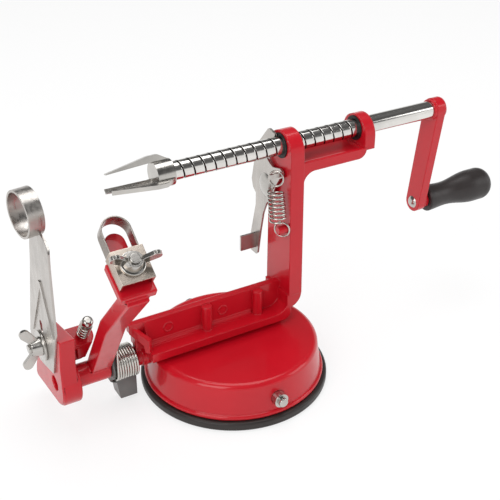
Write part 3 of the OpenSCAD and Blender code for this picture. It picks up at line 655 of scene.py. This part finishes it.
@dataclass
class Finishes:
    """All finishes of the peeler, made once."""

    red: Material = made(Enamel("red_enamel", (0.50, 0.004, 0.013)))
    # The shaft's finish has painted shade in its thread grooves.
    shaft: Material = made(
        Metal("polished_shaft", (0.76, 0.74, 0.71), 0.13, Grain.ALONG_X, groove=(SHAFT_Z, SHAFT_R)))
    nickel: Material = made(Metal("bright_nickel", (0.56, 0.54, 0.51), 0.2))
    plate: Material = made(Metal("plated_sheet", (0.70, 0.61, 0.53), 0.24, marks=0.015))
    sheet: Material = made(Metal("rolled_sheet", (0.56, 0.53, 0.50), 0.32, Grain.ALONG_Z, 0.08))
    blade: Material = made(Metal("blade_strip", (0.40, 0.36, 0.33), 0.3, Grain.ALONG_Y, 0.08))
    spring: Material = made(Metal("drawn_wire", (0.62, 0.60, 0.56), 0.22))
    rubber: Material = made(Moulded("pad_rubber", (0.024, 0.019, 0.0175), 0.42, 700.0, 0.1, 0.4))
    bush: Material = made(Moulded("bush_plastic", (0.011, 0.010, 0.010), 0.5, level=0.3))
    grip: Material = made(Moulded("grip_plastic", (0.026, 0.021, 0.0205), 0.4, 1200.0, 0.12, 0.4))
    block: Material = made(Moulded("block_plastic", (0.13, 0.125, 0.12), 0.36))
    cam: Material = made(Moulded("cam_plastic", (0.70, 0.67, 0.60), 0.45))


@dataclass
class Base:
    """Suction pad, domed shell and the suction lock in it."""

    rounding: float = 0.4
    axle_tip: Point = (-2.6, -58.8, 14.5)
    axle_r: float = 3.99
    cover_root: float = 3.6
    cover_rise: float = 0.1
    stub_r: float = 2.6
    stub_root: float = 1.0
    stub_rise: float = 2.4
    tip_edge: float = 0.5

    def axle(self) -> Object:
        """Gives the suction axle a plain, stepped front end.

        Returns:
            The axle.
        """
        axle = Bench.copy_of("cam_axle", "cam_axle_stepped")
        Bench.smooth(axle)
        steps = (
            ("axle_cover", self.cover_root, self.cover_rise, self.axle_r),
            ("axle_stub", self.stub_root, self.stub_rise, self.stub_r),
        )
        tip = Vector(self.axle_tip)
        for name, root, rise, radius in steps:
            start, end = tip + Vector((0.0, root, 0.0)), tip - Vector((0.0, rise, 0.0))
            Bench.join(axle, [Bench.rod(name, start, end, radius, self.tip_edge)])
        return axle

    def build(self, finish: Finishes) -> None:
        """Keeps the turned pieces, steps the axle and rounds the lever's edges.

        Args:
            finish: The finishes to dress the pieces with.
        """
        Shop.keep("base_pad", finish.rubber)
        Shop.keep("base_shell", finish.red)
        Shop.stand_for(self.axle(), "cam_axle", "plated_steel", finish.nickel)
        for node in ("frame_screws", "lever_pin", "suction_stem"):
            Shop.keep(node, finish.nickel)
        Shop.keep("suction_cam", finish.cam)
        lever = Bench.copy_of("suction_lever", "suction_lever_rounded")
        Bench.round_edges(lever, self.rounding)
        Shop.stand_for(lever, "suction_lever", "plated_steel", finish.nickel)


@dataclass
class Castings:
    """The red cast pieces, with the rounded edges of a casting."""

    frame_edge: float = 0.6
    arm_edge: float = 0.7
    bracket_edge: float = 0.7
    crank_edge: float = 0.6
    detail_edge: float = 0.5
    pin_marks: tuple[Point, ...] = ((-40.3, -2.0, 41.0), (-6.8, -2.0, 40.7))
    pin_mark_r: float = 2.7
    pin_mark_rise: float = 0.24
    web_front: float = -2.0
    web_t: float = 4.0
    rail_gap: Box = ((-62.0, -14.0, 20.0), (-54.8, -2.0, 60.0))
    stub_outline: tuple[Point, ...] = (
        (-63.0, -2.0, 44.0), (-60.0, -2.0, 39.5), (-60.0, -2.0, 48.9), (-63.0, -2.0, 48.9))
    boss_ends: tuple[float, float] = (-60.0, -54.0)
    boss_r: float = 5.12
    collar_ends: tuple[float, float] = (-57.4, -53.6)
    collar_r: float = 5.72
    rib_outline: tuple[Point, ...] = (
        (-63.0, -1.0, 48.6), (-55.0, -9.6, 41.0), (-55.0, -9.6, 32.8),
        (-57.2, -7.24, 32.8), (-57.6, -6.81, 37.4), (-63.0, -1.0, 43.0))
    rib_push: Point = (2.3, 2.14, 0.0)
    foot_r: float = 2.2
    foot_x: float = -54.6
    foot_z: float = 33.2
    foot_len: float = 66.0
    foot_sunk: float = 0.4
    gusset_outline: tuple[Point, ...] = (
        (-91.2, 1.7, 44.0), (-82.2, 1.7, 44.0), (-87.0, 1.7, 35.6), (-91.2, 1.7, 35.6))
    gusset_t: float = 4.0
    sharp: tuple[Box, ...] = (
        ((26.0, -30.0, 24.0), (34.0, 30.0, 56.0)),
        ((28.0, -30.0, 24.0), (42.0, 30.0, 42.0)),
        ((36.5, -30.0, 100.0), (41.5, 30.0, 122.0)),
    )

    def mark(self, piece: Object) -> None:
        """Raises the round marks that the mould's pins leave on the rail's web.

        Args:
            piece: The frame's casting.
        """
        for place in self.pin_marks:
            Bench.clear()
            bpy.ops.mesh.primitive_torus_add(
                major_radius=self.pin_mark_r * MM, minor_radius=self.pin_mark_rise * MM,
                major_segments=48, minor_segments=10,
                location=[value * MM for value in place], rotation=(math.pi / 2, 0.0, 0.0))
            ring = bpy.context.object
            Bench.settle(ring)
            Bench.smooth(ring, angle=60.0)
            Bench.join(piece, [ring])

    def rail_end(self, piece: Object) -> None:
        """Opens the rail's end below a slanted rib, so that the rod's boss shows.

        Args:
            piece: The frame's casting, before its edges are rounded.
        """
        (x0, y0, z0), (x1, y1, z1) = self.rail_gap
        corners = [(x0, y1, z0), (x0, y0, z0), (x0, y0, z1), (x0, y1, z1)]
        Bench.combine(piece, Bench.prism("rail_gap", corners, (x1 - x0, 0.0, 0.0)), Melt.CUT)
        stub = Bench.prism("rail_stub", self.stub_outline, (0.0, self.web_t, 0.0))
        Bench.combine(piece, stub, Melt.ADD)

    def web_foot(self) -> Object:
        """Makes the fillet along the foot of the rail's web.

        Returns:
            The fillet.
        """
        x, y, z = self.foot_x, self.web_front - self.foot_r, self.foot_z
        turns = [math.radians(angle) for angle in range(0, 91, 10)]
        outline = [(x, y + self.foot_r * math.sin(a), z + self.foot_r * (1 - math.cos(a))) for a in turns]
        back, low = self.web_front + self.foot_sunk, z - self.foot_sunk
        outline += [(x, back, z + self.foot_r), (x, back, low), (x, y, low)]
        foot = Bench.prism("web_foot", outline, (self.foot_len, 0.0, 0.0))
        Bench.smooth(foot)
        return foot

    def rail_parts(self) -> list[Object]:
        """Makes the parts that are joined to the rounded frame.

        Returns:
            The rod's boss and its collar, the slanted rib and the fillet of the web.
        """
        parts: list[Object] = []
        rods = (("rod_boss", self.boss_ends, self.boss_r), ("rod_collar", self.collar_ends, self.collar_r))
        for name, ends, radius in rods:
            left, right = (Vector((x, 0.0, PIVOT_Z)) for x in ends)
            parts.append(Bench.rod(name, left, right, radius, self.detail_edge))
        rib = Bench.prism("rail_rib", self.rib_outline, self.rib_push)
        Bench.round_edges(rib, self.detail_edge)
        return [*parts, rib, self.web_foot()]

    def gusset(self) -> Object:
        """Makes the gusset under the end bracket's ear.

        Returns:
            The gusset.
        """
        gusset = Bench.prism("ear_gusset", self.gusset_outline, (0.0, self.gusset_t, 0.0))
        Bench.round_edges(gusset, self.detail_edge)
        return gusset

    def build(self, finish: Finishes) -> None:
        """Rounds each casting and dresses it in enamel.

        Args:
            finish: The finishes to dress the pieces with.
        """
        edges = {
            "frame": self.frame_edge,
            "peel_arm": self.arm_edge,
            "end_bracket": self.bracket_edge,
            "crank_arm": self.crank_edge,
        }
        for node, width in edges.items():
            piece = Bench.copy_of(node, node + "_casting")
            if node == "frame":
                self.rail_end(piece)
            clamp = node in ("crank_arm", "frame")
            Bench.round_edges(piece, width, clamp=clamp, sharp=self.sharp if node == "frame" else ())
            if node == "frame":
                self.mark(piece)
                Bench.join(piece, self.rail_parts())
            if node == "end_bracket":
                Bench.join(piece, [self.gusset()])
            Shop.stand_for(piece, node, "red_enamel", finish.red)
        Shop.keep("pivot_rod", finish.red)


@dataclass
class Feed:
    """Threaded shaft with its fork, crank parts and grip."""

    pitch: float = 6.0
    groove_start: float = -37.95
    groove_turns: int = 20
    groove_steps: int = 48
    groove_w: float = 1.0
    groove_floor: float = 0.5
    groove_depth: float = 0.5
    land: float = 0.3
    lip: float = 0.03
    ease: float = 0.02
    root: float = 0.06
    root_rise: float = 0.04
    left_end: float = -42.0
    right_end: float = 137.9
    bar_r: float = SHAFT_R - 0.004
    bar_edge: float = 0.4
    fork_edge: float = 0.35
    crank_face: float = 138.1
    screw_share: float = 0.3

    def profile(self) -> list[tuple[float, float]]:
        """Works out one pitch of the thread.

        Returns:
            Places along the shaft with their radii, from left to right.
        """
        half, floor = self.groove_w / 2, self.groove_floor / 2
        low = SHAFT_R - self.groove_depth
        side = [
            (self.pitch / 2, SHAFT_R), (half + self.land, SHAFT_R), (half + self.lip, SHAFT_R),
            (half - self.ease, SHAFT_R - self.lip), (floor + self.ease, low + self.root_rise),
            (floor - self.root, low),
        ]
        return [(-x, r) for x, r in side] + side[::-1]

    def thread(self) -> Object:
        """Models the threaded length.

        Returns:
            The threaded length, open at both ends.
        """
        line = [Vector((self.groove_start + x, r, 0.0)) for x, r in self.profile()]
        obj = Bench.path("feed_thread", line)
        bpy.ops.object.mode_set(mode="OBJECT")
        obj.location.z = SHAFT_Z * MM
        turn = obj.modifiers.new("thread", "SCREW")
        turn.axis = "X"
        turn.angle = math.tau
        turn.screw_offset = self.pitch * MM
        turn.iterations = self.groove_turns
        turn.steps = turn.render_steps = self.groove_steps
        turn.use_merge_vertices = True
        turn.merge_threshold = MERGE
        bpy.ops.object.modifier_apply(modifier=turn.name)
        Bench.settle(obj)
        return obj

    def bar(self, name: str, *ends: float) -> Object:
        """Returns a plain length of the shaft between two places along it, with rounded ends."""
        left, right = (Vector((x, 0.0, SHAFT_Z)) for x in ends)
        return Bench.rod(name, left, right, self.bar_r, self.bar_edge, segments=2)

    def shaft(self) -> Object:
        """Joins the threaded length and the plain ends.

        Returns:
            The whole shaft.
        """
        shaft = self.thread()
        left = self.bar("shaft_left", self.left_end, self.groove_start + self.pitch / 2)
        end = self.groove_start + self.pitch * (self.groove_turns - 0.5)
        right = self.bar("shaft_right", end, self.right_end)
        Bench.join(shaft, [left, right])
        shaft.name = "feed_shaft"
        Bench.face_out(shaft)
        Bench.smooth(shaft, angle=40.0)
        return shaft

    def crank_screw(self) -> Object:
        """Sinks the crank screw's head, so that it lies flush with the crank.

        Returns:
            The screw.
        """
        screw = Bench.copy_of("crank_screw", "crank_screw_flush")
        face = Vector((self.crank_face * MM, 0.0, 0.0))
        flat = Matrix.Diagonal((self.screw_share, 1.0, 1.0, 1.0))
        screw.data.transform(Matrix.Translation(face) @ flat @ Matrix.Translation(-face))
        Bench.smooth(screw)
        return screw

    def build(self, finish: Finishes) -> None:
        """Builds the shaft, rounds the fork and dresses the crank parts.

        Args:
            finish: The finishes to dress the pieces with.
        """
        Shop.stand_for(self.shaft(), "feed_screw", "polished_steel", finish.shaft)
        fork = Bench.copy_of("fork", "fork_rounded")
        Bench.round_edges(fork, self.fork_edge)
        Shop.stand_for(fork, "fork", "plated_steel", finish.nickel)
        for node in ("front_bush", "rear_bush"):
            Shop.keep(node, finish.bush)
        Shop.stand_for(self.crank_screw(), "crank_screw", "plated_steel", finish.nickel)
        Shop.keep("grip_pin", finish.nickel)
        Shop.keep("handle_grip", finish.grip)


def on_stop() -> Matrix:
    """Returns the place of the stop screw: its Z runs up the screw, in millimetres."""
    return Matrix.Translation(STOP_PLACE) @ Matrix.Rotation(math.radians(STOP_LEAN), 4, "X")


@dataclass
class Springs:
    """The three wound springs as full round wire."""

    pull_wire: float = 1.05
    pull_od: float = 9.6
    pull_from: float = 60.0
    pull_to: float = 2750.0
    pull_steps: int = 210
    pull_loop: float = 4.1
    loop_turn: int = 345
    loop_step: int = 5
    loop_lead: float = 1.6
    loop_spread: float = 1.1
    low_leave: int = 80
    high_enter: int = -100
    coil_lead: float = 6.0
    coil_reach: float = 4.0
    pull_facing: Point = (-0.7, -0.7, 0.0)
    pull_low: Point = (26.3, -9.4, 86.3)
    pull_foot: Point = (24.1, -8.8, 92.0)
    pull_top: Point = (24.0, -5.9, 108.7)
    pull_high: Point = (24.7, -5.0, 115.3)
    torsion_wire: float = 1.32
    torsion_od: float = 18.8
    torsion_turns: int = 8
    torsion_rise: float = 1.424
    torsion_x: float = -73.325
    torsion_steps: int = 32
    leg_rise: float = 19.3
    leg_sunk: tuple[float, float] = (2.2, 0.4)
    leg_run: tuple[float, float] = (8.0, 3.0)
    leg_bend: tuple[tuple[float, float], ...] = ((1.6, 0.0), (0.9, 0.1), (0.4, 0.4), (0.1, 0.9), (0.0, 1.6))
    leg_start: float = 4.0
    leg_y: float = 8.6
    leg_drop: float = 8.0
    arm_face: float = -76.0
    stop_wire: float = 1.15
    stop_coil: float = 2.85
    stop_turns: float = 4.5
    stop_steps: int = 28
    stop_gap: float = 15.2
    stop_play: float = 0.3

    def pull_line(self) -> list[Vector]:
        """Draws the pull spring, from its lower loop to its upper one.

        Returns:
            Points along the middle of its wire.
        """
        low, foot, top, high = (
            Vector(p) for p in (self.pull_low, self.pull_foot, self.pull_top, self.pull_high))
        along = (top - foot).normalized()
        side = along.cross(Vector(self.pull_facing)).normalized()
        out = side.cross(along)
        coil = self.pull_od / 2 - self.pull_wire / 2

        def loop(middle: Vector, angle: float, back: float) -> Vector:
            """Returns a point of an end loop."""
            a = math.radians(angle)
            return middle + self.pull_loop * (math.cos(a) * side + math.sin(a) * along) - back * out

        def turn(angle: float) -> Vector:
            """Returns a point of the coil."""
            a = math.radians(angle)
            share = (angle - self.pull_from) / (self.pull_to - self.pull_from)
            return foot.lerp(top, share) + coil * (math.cos(a) * side + math.sin(a) * out)

        def bend(a: Vector, b: Vector, c: Vector, d: Vector, count: int = 10) -> list[Vector]:
            """Returns points of a smooth bend from a to d, led by b and c."""
            steps = [(i / count, 1 - i / count) for i in range(1, count)]
            return [v ** 3 * a + 3 * u * v ** 2 * b + 3 * u * u * v * c + u ** 3 * d for u, v in steps]

        first, last = turn(self.pull_from), turn(self.pull_to)
        before = first - (turn(self.pull_from + self.coil_lead) - first) * self.coil_reach
        after = last + (last - turn(self.pull_to - self.coil_lead)) * self.coil_reach
        arc = range(0, self.loop_turn + 1, self.loop_step)
        back = self.pull_wire * self.loop_spread / self.loop_turn
        start = self.low_leave - self.loop_turn
        line = [loop(low, start + a, back * (self.loop_turn - a)) for a in arc]
        line += bend(line[-1], line[-1] - self.loop_lead * side, before, first)
        step = (self.pull_to - self.pull_from) / self.pull_steps
        line += [turn(self.pull_from + step * i) for i in range(self.pull_steps + 1)]
        enter = loop(high, self.high_enter, 0.0)
        line += bend(last, after, enter - self.loop_lead * side, enter)
        line += [loop(high, self.high_enter + a, back * a) for a in arc]
        return line

    def torsion_line(self) -> list[Vector]:
        """Draws the torsion spring with its two legs.

        Returns:
            Points along the middle of its wire.
        """
        r = self.torsion_od / 2 - self.torsion_wire / 2
        x, z = self.torsion_x, PIVOT_Z
        leg = z + self.leg_rise
        end = x + self.torsion_rise * (self.torsion_turns + 0.25)
        line = [Vector((self.arm_face - sunk, -r, leg)) for sunk in self.leg_sunk]
        line += [Vector((x - a, -r, leg - b)) for a, b in self.leg_bend]
        line += [Vector((x, -r, z + rise)) for rise in self.leg_run]
        for i in range(self.torsion_steps * self.torsion_turns + self.torsion_steps // 4 + 1):
            turns = i / self.torsion_steps
            a = math.pi + math.tau * turns
            line.append(Vector((x + self.torsion_rise * turns, r * math.cos(a), z + r * math.sin(a))))
        line.append(Vector((end, self.leg_start, z - r)))
        line += [Vector((end, self.leg_y - a, z - r - b)) for a, b in self.leg_bend]
        line.append(Vector((end, self.leg_y, z - r - self.leg_drop)))
        return line

    def stop_line(self) -> list[Vector]:
        """Draws the small spring under the stop screw's head.

        Returns:
            Points along the middle of its wire.
        """
        place = on_stop()
        low = self.stop_wire / 2 + self.stop_play
        rise = self.stop_gap - 2 * low
        count = round(self.stop_steps * self.stop_turns)
        line: list[Vector] = []
        for i in range(count + 1):
            a = math.tau * i / self.stop_steps
            x, y = self.stop_coil * math.cos(a), self.stop_coil * math.sin(a)
            line.append(place @ Vector((x, y, low + rise * i / count)))
        return line

    def build(self, finish: Finishes) -> None:
        """Winds the three springs in the places of the plain ones.

        Args:
            finish: The finishes to dress the pieces with.
        """
        wound = (
            ("lever_spring", self.pull_line(), self.pull_wire),
            ("arm_spring", self.torsion_line(), self.torsion_wire),
            ("stop_spring", self.stop_line(), self.stop_wire),
        )
        for node, line, wire in wound:
            piece = Bench.wire(node + "_wound", line, wire / 2)
            Shop.stand_for(piece, node, "spring_steel", finish.spring)


@dataclass
class Hardware:
    """Sheet pieces, blades, nuts and screws."""

    sheet_edge: float = 0.25
    core_edge: float = 0.12
    nut_edge: float = 0.6
    stud_edge: float = 0.4
    block_edge: float = 0.5
    clamp_place: Point = (-81.0, -62.8, 115.2)
    clamp_slope: float = 37.0
    clamp_foot: float = -6.1
    clamp_rise: float = 0.9
    strip_left: float = -7.5
    strip_right: float = 6.3
    strip_start: float = 14.0
    strip_reach: float = 33.4
    strip_low: float = -7.2
    strip_high: float = 0.2
    strip_t: float = 0.8
    strip_edge: float = 0.15
    collar_up: float = 8.6
    collar_ends: tuple[float, float] = (0.92, 2.3)
    collar_r: float = 6.3
    collar_tip: float = 5.9
    shank_ends: tuple[float, float] = (-10.6, 16.0)
    shank_r: float = 2.0
    shank_edge: float = 0.3
    head_ends: tuple[float, float] = (15.2, 19.6)
    head_r: float = 3.0
    head_edge: float = 1.7
    ring_middle: Point = (-109.6, 0.0, 128.4)
    ring_turn: float = 7.0
    neck_z: float = 112.0
    neck_len: float = 6.0

    def on_clamp(self) -> Matrix:
        """Returns the place of the clamp plate: its Y runs up the plate, in millimetres."""
        return Matrix.Translation(self.clamp_place) @ Matrix.Rotation(math.radians(self.clamp_slope), 4, "X")

    def fit_clamp(self, piece: Object, node: str) -> None:
        """Makes the clamp as high as in the photograph, and lifts its stud and nut with it.

        Args:
            piece: The copy to change.
            node: The CAD node that it was copied from.
        """
        scale = Matrix.Diagonal((MM, MM, MM, 1.0))
        place = scale @ self.on_clamp()
        if node == "clamp_plate":
            low = Vector((0.0, 0.0, self.clamp_foot))
            stretch = Matrix.Diagonal((1.0, 1.0, 1.0 - self.clamp_rise / self.clamp_foot, 1.0))
            change = Matrix.Translation(low) @ stretch @ Matrix.Translation(-low)
        else:
            change = Matrix.Translation((0.0, 0.0, self.clamp_rise))
        piece.data.transform(place @ change @ place.inverted())

    def strip(self) -> Object:
        """Bends the blade strip to its loop.

        Returns:
            The strip.
        """
        place = self.on_clamp()
        radius = (self.strip_right - self.strip_left) / 2
        middle = (self.strip_right + self.strip_left) / 2
        far = self.strip_reach - radius
        line = [(self.strip_left, self.strip_start)]
        turns = [math.radians(angle) for angle in range(0, 181, 6)]
        line += [(middle - radius * math.cos(a), far + radius * math.sin(a)) for a in turns]
        line += [(self.strip_right, self.strip_start)]
        obj = Bench.path("peel_blade_bent", [place @ Vector((x, y, self.strip_low)) for x, y in line])
        rise = place.to_3x3() @ Vector((0.0, 0.0, self.strip_high - self.strip_low))
        bpy.ops.mesh.extrude_edges_move(TRANSFORM_OT_translate={"value": rise * MM})
        bpy.ops.object.mode_set(mode="OBJECT")
        thick = obj.modifiers.new("sheet", "SOLIDIFY")
        thick.thickness = self.strip_t * MM
        thick.offset = 0.0
        bpy.ops.object.modifier_apply(modifier=thick.name)
        Bench.round_edges(obj, self.strip_edge)
        return obj

    def stop_screw(self) -> Object:
        """Turns the stop screw with its rounded head.

        Returns:
            The screw.
        """
        place = on_stop()
        low, high = (place @ Vector((0.0, 0.0, end)) for end in self.shank_ends)
        shank = Bench.rod("stop_screw_turned", low, high, self.shank_r, self.shank_edge)
        low, high = (place @ Vector((0.0, 0.0, end)) for end in self.head_ends)
        head = Bench.rod("stop_head", low, high, self.head_r, self.head_edge, segments=6)
        Bench.join(shank, [head])
        return shank

    def turn_ring(self, piece: Object) -> None:
        """Turns the coring ring a little on its neck, as it stands in the photograph.

        Args:
            piece: The core blade's copy.
        """
        middle = Vector(self.ring_middle) * MM
        for spot in piece.data.vertices:
            share = min(1.0, max(0.0, (spot.co.z / MM - self.neck_z) / self.neck_len))
            turn = Matrix.Rotation(math.radians(self.ring_turn * share), 3, "Z")
            spot.co = middle + turn @ (spot.co - middle)

    def nut_collar(self) -> Object:
        """Makes the wide collar under the clamp's wing nut.

        Returns:
            The collar.
        """
        place = self.on_clamp()
        low, high = (place @ Vector((0.0, self.collar_up, end)) for end in self.collar_ends)
        return Bench.rod("nut_collar", low, high, self.collar_r, self.stud_edge, tip=self.collar_tip)

    def build(self, finish: Finishes) -> None:
        """Rounds what has visible edges and keeps the turned pieces.

        Args:
            finish: The finishes to dress the pieces with.
        """
        rounded = (
            ("release_lever", self.sheet_edge, "sheet_steel", finish.sheet),
            ("core_blade", self.core_edge, "sheet_steel", finish.sheet),
            ("clamp_plate", self.sheet_edge, "plated_steel", finish.plate),
            ("peel_wing_nut", self.nut_edge, "plated_steel", finish.nickel),
            ("blade_wing_nut", self.nut_edge, "plated_steel", finish.nickel),
            ("blade_washer", self.stud_edge, "plated_steel", finish.nickel),
            ("spring_block", self.block_edge, "block_plastic", finish.block),
            ("peel_stud", self.stud_edge, "plated_steel", finish.nickel),
            ("blade_bolt", self.stud_edge, "plated_steel", finish.nickel),
        )
        for node, width, slot, material in rounded:
            piece = Bench.copy_of(node, node + "_rounded", node != "core_blade")
            if node in ("clamp_plate", "peel_wing_nut", "peel_stud"):
                self.fit_clamp(piece, node)
            if node == "core_blade":
                self.turn_ring(piece)
            Bench.round_edges(piece, width)
            if node == "peel_wing_nut":
                Bench.join(piece, [self.nut_collar()])
            Shop.stand_for(piece, node, slot, material)
        Shop.stand_for(self.strip(), "peel_blade", "sheet_steel", finish.blade)
        Shop.stand_for(self.stop_screw(), "stop_screw", "plated_steel", finish.nickel)
        Shop.keep("lever_screw", finish.nickel)


@dataclass
class Studio:
    """Pale floor, soft light and the camera of the photograph."""

    eye: Point = (-0.22355, -0.40419, 0.34444)
    pitch: float = 59.87
    roll: float = 0.17
    heading: float = -30.22
    lens: float = 70.854
    sensor: float = 36.0
    clip: tuple[float, float] = (0.01, 20.0)
    floor_size: float = 8.0
    floor_z: float = -0.0002
    floor_glow: float = 0.72
    floor_grey: float = 0.92
    room_grey: float = 0.6
    ceiling: tuple[tuple[float, float], ...] = ((0.0, 1.0), (0.2, 0.9), (0.36, 0.14), (0.75, 0.1), (1.0, 0.3))
    aim: Point = (0.0, 0.0, 0.06)
    lamps: tuple[tuple[str, Point, float, float], ...] = (
        ("key", (-0.8, -0.5, 0.8), 0.7, 3.6),
        ("top", (0.1, 0.15, 1.1), 0.8, 2.6),
        ("side", (0.9, -0.5, 0.5), 0.5, 2.4),
    )

    def camera(self) -> None:
        """Sets the camera at the photograph's angle."""
        data = bpy.data.cameras.new("camera")
        data.lens = self.lens
        data.sensor_width = self.sensor
        data.clip_start, data.clip_end = self.clip
        camera = bpy.data.objects.new("camera", data)
        camera.location = self.eye
        turn = Matrix.Identity(4)
        for angle, axis in ((self.heading, "Z"), (self.pitch, "X"), (self.roll, "Z")):
            turn = turn @ Matrix.Rotation(math.radians(angle), 4, axis)
        camera.rotation_euler = turn.to_euler()
        bpy.context.scene.collection.objects.link(camera)
        bpy.context.scene.camera = camera

    @staticmethod
    def grey(level: float) -> tuple[float, float, float, float]:
        """Returns a grey with full cover."""
        return (level, level, level, 1.0)

    @staticmethod
    def seen(nodes: Nodes, share: float) -> NodeSocket:
        """Tells rays that show the surroundings from rays that only light the object.

        Args:
            nodes: The nodes to work in.
            share: Value for a ray that shows the surroundings.

        Returns:
            The share for camera, mirrored and passed rays, and 0 for others.
        """
        path = nodes.add("LightPath").outputs
        value = path["Is Camera Ray"]
        for kind in ("Is Glossy Ray", "Is Transmission Ray"):
            value = nodes.add("Math", {0: value, 1: path[kind]}, operation="MAXIMUM").outputs["Value"]
        return nodes.add("Math", {0: value, 1: share}, operation="MULTIPLY").outputs["Value"]

    def floor(self) -> None:
        """Lays a plain white floor that keeps the object's shadow."""
        Bench.clear()
        bpy.ops.mesh.primitive_plane_add(size=self.floor_size, location=(0.0, 0.0, self.floor_z))
        floor = bpy.context.object
        floor.name = "floor"
        material = bpy.data.materials.new("floor_white")
        material.use_nodes = True
        nodes = Nodes(material.node_tree)
        nodes.tree.nodes.clear()
        light = nodes.add("Emission", {"Color": self.grey(1.0)})
        matt = nodes.add("BsdfDiffuse", {"Color": self.grey(self.floor_grey)})
        mix = nodes.add("MixShader", {
            "Fac": self.seen(nodes, self.floor_glow), 1: matt.outputs["BSDF"], 2: light.outputs["Emission"]})
        nodes.add("OutputMaterial", {"Surface": mix.outputs["Shader"]})
        floor.data.materials.append(material)

    def lamp(self, name: str, place: Point, size: float, glow: float) -> None:
        """Hangs a square softbox that looks at the object.

        Args:
            name: Name of the lamp.
            place: Where it hangs, in metres.
            size: Its width and height in metres.
            glow: Brightness of its face, where 1 is as bright as the white floor.
        """
        data = bpy.data.lights.new(name, "AREA")
        data.shape = "SQUARE"
        data.size = size
        data.energy = glow * math.pi * size ** 2
        lamp = bpy.data.objects.new(name, data)
        lamp.location = place
        lamp.rotation_euler = (Vector(self.aim) - Vector(place)).to_track_quat("-Z", "Y").to_euler()
        bpy.context.scene.collection.objects.link(lamp)

    def world(self) -> None:
        """Sets a white studio under a dark ceiling, which the metal mirrors."""
        world = bpy.data.worlds.new("studio")
        bpy.context.scene.world = world
        world.use_nodes = True
        nodes = Nodes(world.node_tree)
        nodes.tree.nodes.clear()
        split = nodes.add("SeparateXYZ", {"Vector": nodes.add("TexCoord").outputs["Generated"]})
        ramp = nodes.add("ValToRGB", {"Fac": split.outputs["Z"]})
        steps = ramp.color_ramp.elements
        for place, _ in self.ceiling[1:-1]:
            steps.new(place)
        for step, (place, level) in zip(steps, self.ceiling):
            step.position, step.color = place, self.grey(level)
        colours = (self.grey(self.room_grey), ramp.outputs["Color"], self.grey(1.0))
        room, walls, back = (
            nodes.add("Background", {"Color": colour}).outputs["Background"] for colour in colours)
        inside = nodes.add("MixShader", {"Fac": self.seen(nodes, 1.0), 1: room, 2: walls})
        camera = nodes.add("LightPath").outputs["Is Camera Ray"]
        whole = nodes.add("MixShader", {"Fac": camera, 1: inside.outputs["Shader"], 2: back})
        nodes.add("OutputWorld", {"Surface": whole.outputs["Shader"]})

    def build(self) -> None:
        """Sets up camera, floor and light."""
        self.camera()
        self.floor()
        self.world()
        for name, place, size, glow in self.lamps:
            self.lamp(name, place, size, glow)
        bpy.context.scene.view_settings.view_transform = "Standard"
        log.info("studio ready")


def main() -> None:
    """Builds all pieces in order."""
    logging.basicConfig(level=logging.INFO, format="%(name)s: %(message)s")
    finish = Finishes()
    Studio().build()
    for part in (Base(), Castings(), Feed(), Springs(), Hardware()):
        part.build(finish)
        log.info("%s done", type(part).__name__)


if __name__ == "__main__":
    main()
